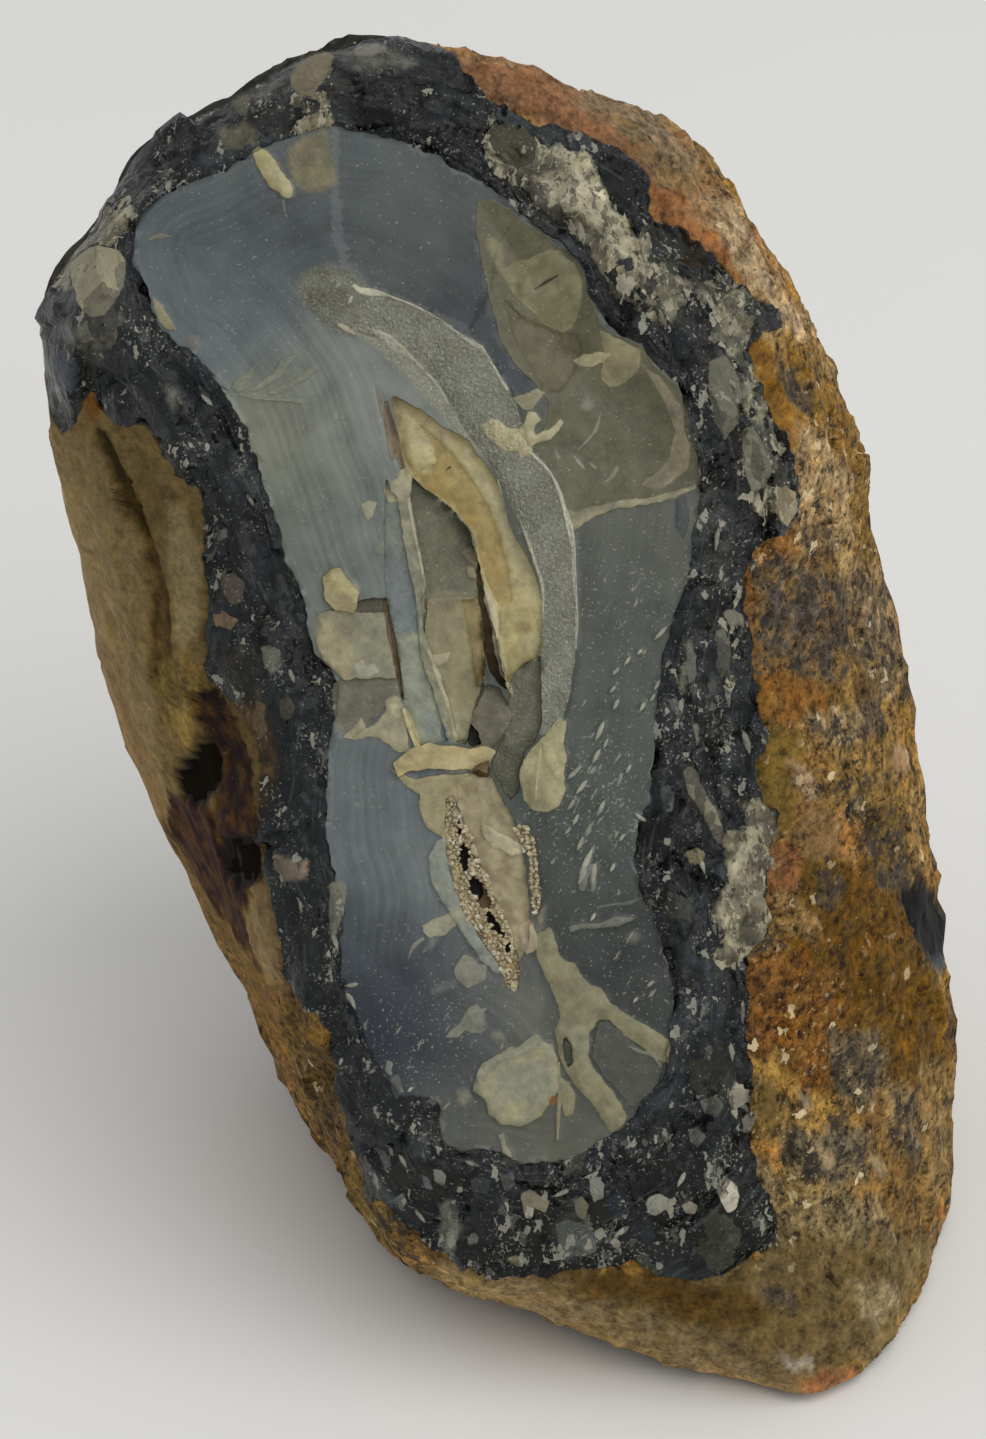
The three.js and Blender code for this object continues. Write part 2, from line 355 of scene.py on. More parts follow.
# ---------------------------------------------------------------------------------------------
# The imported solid, smoothed, as the shape that everything lies on
# ---------------------------------------------------------------------------------------------
def smoothed_solid(node):
    """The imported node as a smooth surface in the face's frame, to cast rays at."""
    mesh = node.data.copy()
    shape = bmesh.new()
    shape.from_mesh(mesh)
    bmesh.ops.remove_doubles(shape, verts=shape.verts, dist=1e-6)
    shape.to_mesh(mesh)
    shape.free()
    holder = bpy.data.objects.new("smoothed", mesh)
    bpy.context.scene.collection.objects.link(holder)
    subdivide = holder.modifiers.new("subdivide", "SUBSURF")
    subdivide.levels = 2
    subdivide.render_levels = 2
    bpy.context.view_layer.update()
    fine = holder.evaluated_get(bpy.context.evaluated_depsgraph_get()).to_mesh()
    points = to_face(read_vectors(fine.vertices, "co"))
    faces = [tuple(face.vertices) for face in fine.polygons]
    tree = BVHTree.FromPolygons([tuple(p) for p in points], faces)
    bpy.data.objects.remove(holder)
    return tree, points


SOLID, SOLID_POINTS = smoothed_solid(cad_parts[NODE])


def bearing_of(points):
    return np.arctan2(points[:, 1], points[:, 0])


def farthest_by_bearing(points, slots):
    """A function from the bearing to the largest distance from the face's axis there."""
    radii = np.hypot(points[:, 0], points[:, 1])
    index = ((bearing_of(points) / (2 * math.pi) + 0.5) * slots).astype(int) % slots
    most = np.zeros(slots)
    np.maximum.at(most, index, radii)
    centres = ((np.arange(slots) + 0.5) / slots - 0.5) * 2 * math.pi
    return lambda bearing: np.interp(bearing, centres[most > 0], most[most > 0], period=2 * math.pi)


def heights_over(flat_points):
    """Where the solid lies under each (u, v), seen square to the face, with its normals."""
    hits = np.zeros((len(flat_points), 3))
    normals = np.zeros((len(flat_points), 3))
    for i, (u, v) in enumerate(flat_points):
        place, normal, _, _ = SOLID.ray_cast(Vector((u, v, ABOVE_FACE)), Vector((0, 0, -1)))
        hits[i] = place if place else (u, v, BELOW_FACE)
        normals[i] = normal if normal else (0, 0, 1)
    return hits, normals


def skin_hits(bearings, polars):
    """Where rays towards the stone's heart meet its skin, with the normals there."""
    across = np.sin(polars)
    rays = np.column_stack([across * np.cos(bearings), across * np.sin(bearings), np.cos(polars)])
    hits = np.zeros((len(rays), 3))
    normals = np.zeros((len(rays), 3))
    for i, ray in enumerate(rays):
        place, normal, _, _ = SOLID.ray_cast(Vector(HEART + ray * BEYOND_SKIN), Vector(-ray))
        hits[i], normals[i] = place, normal
    return hits, normals


# ---------------------------------------------------------------------------------------------
# The mesh: a fine sheet over the break, and rings of skin from its edge to the back
# ---------------------------------------------------------------------------------------------
def sheet_boundary():
    """The sheet's edge: a little outside the break, but inside the girth."""
    edge = farthest_by_bearing(resampled(curved(BREAK), 0.2), EDGE_SLOTS)
    girth = farthest_by_bearing(SOLID_POINTS, GIRTH_SLOTS)
    bearings = np.linspace(-math.pi, math.pi, EDGE_BEARINGS, endpoint=False)
    radius = edge(bearings)
    room = np.maximum(girth(bearings) - radius, 0)
    radius = radius + np.minimum(SHEET_MARGIN, room * 0.45)
    radius = np.minimum(radius, girth(bearings) - SHEET_MARGIN)
    width = EDGE_SMOOTHING
    padded = np.concatenate([radius[-width:], radius, radius[:width]])
    radius = np.convolve(padded, np.ones(width) / width, "same")[width:-width]
    line = np.column_stack([radius * np.cos(bearings), radius * np.sin(bearings)])
    return resampled(line, SKIN_FRONT_STEP)


def double_line(outline):
    """The two sides of a crisp border, a hair apart, so that colour and height can jump there."""
    normals = normals_2d(outline)
    return [outline + normals * BORDER_HALF, outline - normals * BORDER_HALF]


def hex_points(low, high, step):
    rows = np.arange(low[1], high[1], step * math.sqrt(3) / 2)
    columns = np.arange(low[0], high[0], step)
    u, v = np.meshgrid(columns, rows)
    u = u + (np.arange(len(rows)) % 2)[:, None] * step / 2
    return np.column_stack([u.ravel(), v.ravel()])


def sheet_mesh(boundary, borders, step_at):
    """Triangles over the break, with every border as edges, and step_at(points) as their size."""
    grids = []
    for step in (BUSY_STEP, RIM_STEP, PLAIN_STEP):
        grid = hex_points(boundary.min(0), boundary.max(0), step)
        grids.append(grid[step_at(grid) == step])
    grid = np.vstack(grids)
    grid = grid + shifts(grid, 0.7, (3, 4)) * BUSY_STEP * 0.2
    grid = grid[signed_distance(grid, boundary) > BUSY_STEP * 0.6]
    lines = [line for outline in borders for line in double_line(outline)]
    grid = grid[nearest_of(grid, np.vstack(lines))[1] > BUSY_STEP * 0.45]
    points = [boundary]
    edges = [(i, (i + 1) % len(boundary)) for i in range(len(boundary))]
    count = len(boundary)
    for line in lines:
        inside = signed_distance(line, boundary) > BUSY_STEP
        points.append(line)
        size = len(line)
        edges += [
            (count + i, count + (i + 1) % size) for i in range(size) if inside[i] and inside[(i + 1) % size]
        ]
        count += size
    points.append(grid)
    points = np.vstack(points)
    keep = np.ones(len(points), bool)
    keep[len(boundary):] = signed_distance(points[len(boundary):], boundary) > BUSY_STEP * 0.5
    renumbered = np.cumsum(keep) - 1
    edges = [(int(renumbered[a]), int(renumbered[b])) for a, b in edges if keep[a] and keep[b]]
    made = delaunay_2d_cdt([Vector(p) for p in points[keep]], edges, [], 1, 1e-3, False)
    flat = np.array([tuple(p) for p in made[0]])
    faces = np.array([tuple(face) for face in made[2]])
    inside = signed_distance(flat[faces].mean(1), boundary) > 0
    return flat, [tuple(face) for face in faces[inside]]


def zipped(inner, inner_bearings, outer, outer_bearings):
    """Triangles between two closed rings of vertex numbers, both in order of bearing from one start."""
    faces = []
    i = j = 0
    inner_count, outer_count = len(inner), len(outer)
    inner_turn = np.append(inner_bearings, inner_bearings[0] + 2 * math.pi)
    outer_turn = np.append(outer_bearings, outer_bearings[0] + 2 * math.pi)
    while i < inner_count or j < outer_count:
        step_inner = j >= outer_count or (i < inner_count and inner_turn[i + 1] <= outer_turn[j + 1])
        a, b = inner[i % inner_count], outer[j % outer_count]
        if step_inner:
            faces.append((a, b, inner[(i + 1) % inner_count]))
            i += 1
        else:
            faces.append((a, b, outer[(j + 1) % outer_count]))
            j += 1
    return faces


def skin_shares():
    """Each ring's share of the way round to the back, and its mesh step: fine in front, coarser behind."""
    rings, share = [], 0.0
    while True:
        coarser = float(smoothstep(share, 0.3, 0.5))
        step = SKIN_FRONT_STEP + (SKIN_BACK_STEP - SKIN_FRONT_STEP) * coarser
        share += step / SKIN_MERIDIAN
        if share > 1 - 0.6 * SKIN_BACK_STEP / SKIN_MERIDIAN:
            return rings
        rings.append((share, step))


def stone_mesh(borders, step_at):
    """The stone's points, normals and triangles in the face's frame, and its sheet's size and edge."""
    boundary = sheet_boundary()
    sheet, faces = sheet_mesh(boundary, borders, step_at)
    hits, normals = heights_over(sheet)
    ring, _ = nearest_of(boundary, sheet)
    away = hits[ring] - HEART
    order = np.argsort(bearing_of(away))
    ring, away = ring[order], away[order]
    edge_bearings = bearing_of(away)
    edge_polars = np.arccos(away[:, 2] / np.linalg.norm(away, axis=1))
    turns = np.append(edge_bearings, edge_bearings[0] + 2 * math.pi)
    bearings, sheet_edge = edge_bearings, ring
    points, all_normals, count = [hits], [normals], len(hits)

    def ring_at(share, size):
        around = np.interp(np.arange(size) / size, np.linspace(0, 1, len(turns)), turns)
        polar = np.interp(around, edge_bearings, edge_polars, period=2 * math.pi)
        return around, *skin_hits(around, polar + (math.pi - polar) * share)

    for share, step in skin_shares():
        _, rough, _ = ring_at(share, ROUGH_RING)
        size = max(5, round(np.linalg.norm(np.roll(rough, -1, 0) - rough, axis=1).sum() / step))
        next_bearings, hits, normals = ring_at(share, size)
        next_ring = count + np.arange(size)
        faces += zipped(ring, bearings, next_ring, next_bearings)
        ring, bearings = next_ring, next_bearings
        points.append(hits)
        all_normals.append(normals)
        count += size
    hits, normals = skin_hits(np.zeros(1), np.full(1, math.pi))
    points.append(hits)
    all_normals.append(normals)
    faces += [(count, ring[(i + 1) % len(ring)], ring[i]) for i in range(len(ring))]
    return np.vstack(points), np.vstack(all_normals), faces, len(sheet), sheet_edge


def softened(normals, faces, rounds=14):
    """The normals averaged with their neighbours', so that relief along them doesn't fold at a crease."""
    a, b, c = np.array(faces).T
    start, end = np.concatenate([a, b, c]), np.concatenate([b, c, a])
    for _ in range(rounds):
        total = [np.bincount(end, normals[start, axis], len(normals)) for axis in range(3)]
        back = [np.bincount(start, normals[end, axis], len(normals)) for axis in range(3)]
        normals = normals + (np.array(total) + np.array(back)).T / 6
        normals /= np.linalg.norm(normals, axis=1)[:, None]
    return normals


# ---------------------------------------------------------------------------------------------
# Patches: what is drawn on the stone, with its border, colour and height
# ---------------------------------------------------------------------------------------------
@dataclass
class Patch:
    """A crisp-edged area of the break. Colours are as the eye sees them, 0 to 255."""

    outline: np.ndarray
    colour: tuple = None
    second: tuple = None  # mottled in with the first
    level: object = None  # height in mm over the break's plane, as a function of (u, v) and depth inside
    lift: object = 0.0  # added height, a number or a function of (u, v) and depth inside
    soft: float = 0.1  # width of the border
    strength: float = 1.0
    gain: float = 1.0  # how much paler it is than it looks, where little light reaches it
    marks: dict = field(default_factory=dict)


def irregular(outline, height=0.15, wave=1.0, seed=0, curve=True):
    """The outline as a broken edge: a curve or straight runs, with small jagged bends."""
    line = resampled(curved(outline) if curve else outline, BORDER_STEP)
    bend = noise(line, wave, seed) + 0.7 * noise(line, wave * 0.4, seed + 0.5)
    return line + normals_2d(line) * (bend * height)[:, None]


def band_outline(points, widths, seed):
    """The closed outline of a line of varying width, pointed at an end of width 0."""
    line = resampled(curved(points, closed=False), BORDER_STEP, closed=False)
    width = np.interp(np.linspace(0, 1, len(line)), np.linspace(0, 1, len(widths)), widths)
    width = np.maximum(width, 0.03)
    side = normals_2d(line, closed=False) * (width / 2)[:, None]
    outline = np.vstack([line + side, (line - side)[::-1]])
    return outline + normals_2d(outline) * (noise(outline, LINE_WAVE, seed, 2) * LINE_BEND)[:, None]


def distance_to(points, line):
    """Distance from each point to an open polyline."""
    line = curved(line, closed=False)
    start, run = line[:-1], np.diff(line, axis=0)
    gap = points[:, None, :] - start
    share = np.clip((gap * run).sum(2) / (run**2).sum(1), 0, 1)
    return np.sqrt(((gap - share[:, :, None] * run) ** 2).sum(2).min(1))


SCOOP_CENTRE = (5.8, 21.8)
FAN_CENTRE = (0.6, 32.6)
DOME_CENTRE = (-14.0, 36.5)
DRUSE_HOLLOW = trace("-40,-70 -35,-66 -29,-80 -22,-97 -14,-118 -5,-139 3,-159 12,-179 20,-200 23,-214 "
    "23,-226 20,-237 13,-233 5,-214 -8,-195 -20,-176 -30,-157 -37,-134 -41,-110 -42,-87")


def shell_hollow(points, depth):
    """A smooth hollow with faint ripples round its centre."""
    ripple = np.sin(np.linalg.norm(points - SCOOP_CENTRE, axis=1) * 2.4)
    return -0.9 * smoothstep(depth, -0.05, 4.0) - 0.12 * smoothstep(depth, -0.05, 0.3) + 0.03 * ripple


def fan_ridges(points, depth):
    away = points - FAN_CENTRE
    spokes = np.column_stack([np.arctan2(away[:, 1], away[:, 0]) * 6, np.linalg.norm(away, axis=1) * 0.12])
    return smoothstep(depth, -0.05, 0.9) * (0.15 + 0.3 * noise(spokes, 1.0, 31, 2))


def dome(points, depth):
    near = np.linalg.norm(points - DOME_CENTRE, axis=1)
    return 0.12 * smoothstep(depth, 0, 1.8) + 0.03 * np.sin(near * 5)


def tongue_facets(points, depth):
    return 0.12 * smoothstep(depth, -0.05, 0.3) + 0.2 * noise(points, 1.4, 41, 1)


def chip_facets(points, depth):
    return 0.1 + 0.3 * smoothstep(depth, -0.05, 1.4) + 0.15 * noise(points, 1.8, 43, 1)


def shell_rings(points, depth):
    rings = np.sin(depth * 3.5 + 2 * noise(points, 2.0, 47))
    return 0.08 + 0.22 * smoothstep(depth, -0.05, 0.3) - 0.2 * smoothstep(depth, 1.0, 3.0) + 0.03 * rings


# ---------------------------------------------------------------------------------------------
# The dark rim and the skin: soft-edged areas with wandering borders
# ---------------------------------------------------------------------------------------------
@dataclass
class Wash:
    """A soft-edged area of the rim or the skin, in the picture's plane."""

    outline: str
    colour: tuple
    second: tuple = None
    wander: float = 0.8  # how far its border strays, mm
    soft: float = 0.8  # width of the border
    lift: float = 0.0  # added relief, mm
    marks: dict = field(default_factory=dict)

    def __post_init__(self):
        self.outline = trace(self.outline)


RIM_DARK = (20, 22, 22)
RIM_BLUE = (35, 38, 40)

# Marks that several areas share
CRUST = {"pale": 1.0}
HALF_CRUST = {"pale": 0.6}
BARE = {"druse": 0.0}
CHIPPY = {"chip": 1.0, "pale": 0.7}
CRUMBS = {"chip": 0.3, "pale": 1.0}
CLEAN = {"chip": 0.0, "pale": 0.0, "flakes": 0.35}
SMOOTH = {"chip": 0.0, "pale": 0.0, "flakes": 0.08}

RIM_WASHES = [
    # left
    Wash("-390,365 -364,339 -346,296 -316,252 -281,235 -255,191 -242,139 -251,70 -224,17 -201,-35 "
        "-201,-122 -177,-226 -137,-296 -120,-374 -81,-374 -107,-296 -133,-218 -142,-122 -146,-35 -146,35 "
        "-168,96 -194,183 -224,261 -264,313 -298,339 -320,391 -333,409", (32, 35, 36), RIM_BLUE,
        wander=1.2),
    Wash("-298,313 -255,287 -220,244 -201,174 -185,104 -168,70 -151,26 -168,17 -194,70 -220,104 -233,174 "
        "-264,235 -294,278", RIM_BLUE, (30, 32, 33), wander=1.0),
    Wash("-385,381 -375,405 -351,423 -325,449 -313,454 -315,430 -328,416 -338,398 -347,381 -368,372",
        (150, 143, 118), (118, 112, 90), wander=0.6, lift=0.3, marks=CRUST),
    Wash("-364,348 -342,365 -326,400 -319,374 -325,339 -342,313 -359,313", (98, 96, 86), (60, 59, 52),
        wander=1.0),
    Wash("-220,33 -206,31 -196,7 -189,-22 -187,-61 -194,-83 -204,-70 -211,-35 -218,0", (76, 57, 33),
        (52, 42, 28), wander=0.4),
    # top
    Wash("-242,513 -216,522 -201,512 -204,499 -224,498 -239,501", (104, 98, 78), (84, 80, 66), wander=0.5),
    Wash("-129,586 -81,585 -64,572 -81,564 -116,562 -131,572", (96, 96, 85), (60, 61, 56), wander=0.5),
    Wash("-220,565 -177,574 -142,583 -129,548 -142,513 -168,505 -201,515 -220,535", (58, 57, 50),
        (36, 37, 34), wander=1.2),
    Wash("-178,536 -151,574 -142,576 -145,539 -138,496 -145,489 -152,513 -168,506", (126, 118, 94),
        (100, 94, 76), wander=0.7, marks={"pale": 0.7}),
    # the crust at the upper right
    Wash("-1,517 23,510 58,499 93,489 97,456 112,442 133,421 138,402 163,381 173,365 152,338 138,343 "
        "128,355 107,367 93,386 81,407 69,425 46,442 23,463 6,477 -8,494", (146, 138, 114), (104, 100, 84),
        wander=0.8, lift=0.3, marks=CRUST),
    Wash("6,483 32,472 55,452 69,433 55,435 32,448 13,463", (84, 81, 70), (58, 56, 49), wander=0.5),
    Wash("58,478 93,470 115,439 128,418 119,398 98,418 79,440 58,456", (172, 165, 138), (140, 133, 110),
        wander=0.7, lift=0.2, marks=CRUST),
    Wash("93,405 128,398 152,374 149,346 128,358 109,374 95,390", (134, 127, 104), (96, 92, 75), wander=0.5,
        marks=HALF_CRUST),
    Wash("91,496 110,489 130,473 128,456 116,440 98,458 91,473", (30, 31, 30), (20, 21, 22), wander=0.4,
        soft=0.3, lift=-0.4),
    Wash("141,433 171,421 184,398 171,398 149,412", (46, 38, 22), (30, 26, 18), wander=0.4, soft=0.4,
        lift=-0.4),
    Wash("128,400 171,383 215,374 225,365 206,357 180,365 147,378", (140, 133, 110), (70, 69, 60),
        wander=0.6, marks=CRUST),
    Wash("187,367 199,372 224,338 225,313 238,278 250,235 246,191 232,165 219,191 215,218 222,244 213,278 "
        "201,304 192,331", (132, 127, 105), (62, 62, 56), wander=1.0, marks={"pale": 0.8}),
    Wash("194,365 215,365 225,339 215,334 201,346", (136, 130, 104), (112, 106, 86), wander=0.5,
        marks=CRUST),
    Wash("245,204 263,209 264,183 251,167 243,178", (150, 136, 106), (128, 114, 86), wander=0.4,
        marks=CRUST),
    # right
    Wash("180,209 211,191 217,139 211,70 219,0 197,-35 171,0 170,70 180,139", (60, 62, 58), (32, 35, 34),
        wander=1.0),
    Wash("168,70 173,70 171,33 166,17 163,35", (118, 114, 98), wander=0.4, soft=0.3, lift=0.15),
    Wash("199,87 210,84 213,52 210,24 201,35 197,61", (96, 94, 82), (70, 70, 64), wander=0.5, lift=0.15,
        marks=HALF_CRUST),
    Wash("164,-43 175,-38 182,-61 192,-77 201,-92 194,-98 184,-84 171,-66", (122, 117, 98), (104, 100, 84),
        wander=0.3, soft=0.3, lift=0.3),
    Wash("211,-70 229,-64 246,-80 241,-113 237,-157 239,-187 220,-211 203,-218 189,-211 199,-183 191,-157 "
        "206,-130 199,-106 217,-91", (160, 151, 122), (104, 98, 80), wander=1.0, soft=0.4, lift=0.3,
        marks=CRUST),
    Wash("204,-322 225,-318 229,-339 215,-348 203,-339", (112, 110, 98), (80, 80, 72), wander=0.5,
        marks=HALF_CRUST),
    Wash("194,-402 206,-398 215,-413 208,-432 197,-423", (156, 146, 128), wander=0.3, soft=0.2, lift=0.25),
    Wash("138,-414 151,-412 154,-428 142,-432 135,-423", (112, 110, 100), wander=0.3, soft=0.25, lift=0.2),
    # bottom
    Wash("-111,-374 -46,-383 32,-391 110,-374 163,-339 180,-383 232,-418 215,-461 145,-474 58,-472 "
        "-20,-472 -81,-426", (20, 21, 20), (32, 33, 31), wander=1.0),
    Wash("-46,-422 -33,-418 -27,-448 -37,-465 -46,-452", (96, 98, 88), (70, 72, 66), wander=0.4, soft=0.3,
        lift=0.2),
    Wash("50,-439 71,-426 91,-448 90,-465 58,-468", (88, 92, 86), (60, 64, 60), wander=0.4, soft=0.4,
        lift=0.2),
    Wash("-194,-113 -184,-118 -171,-124 -166,-139 -180,-141 -189,-130", (90, 89, 82), (70, 69, 63),
        wander=0.3, soft=0.3, lift=0.2),
    Wash("-142,-143 -126,-139 -130,-170 -138,-196 -142,-170", (106, 106, 92), wander=0.3, soft=0.25,
        lift=0.2),
    Wash("-168,-122 -161,-122 -161,-139 -168,-139", (140, 120, 104), wander=0.2, soft=0.2),
    Wash("-201,57 -185,59 -180,45 -194,38", (92, 92, 84), (66, 68, 64), wander=0.3, soft=0.3),
    Wash("-231,65 -210,61 -201,26 -220,17 -232,43", (58, 52, 42), (40, 40, 36), wander=0.6),
    Wash("-290,300 -272,285 -268,261 -279,270", (100, 98, 88), (70, 70, 64), wander=0.4),
]

OCHRE = (108, 84, 44)
RUST = (118, 84, 46)
BROWN = (94, 72, 42)
DARK_BROWN = (58, 48, 34)
SAND = (116, 98, 66)

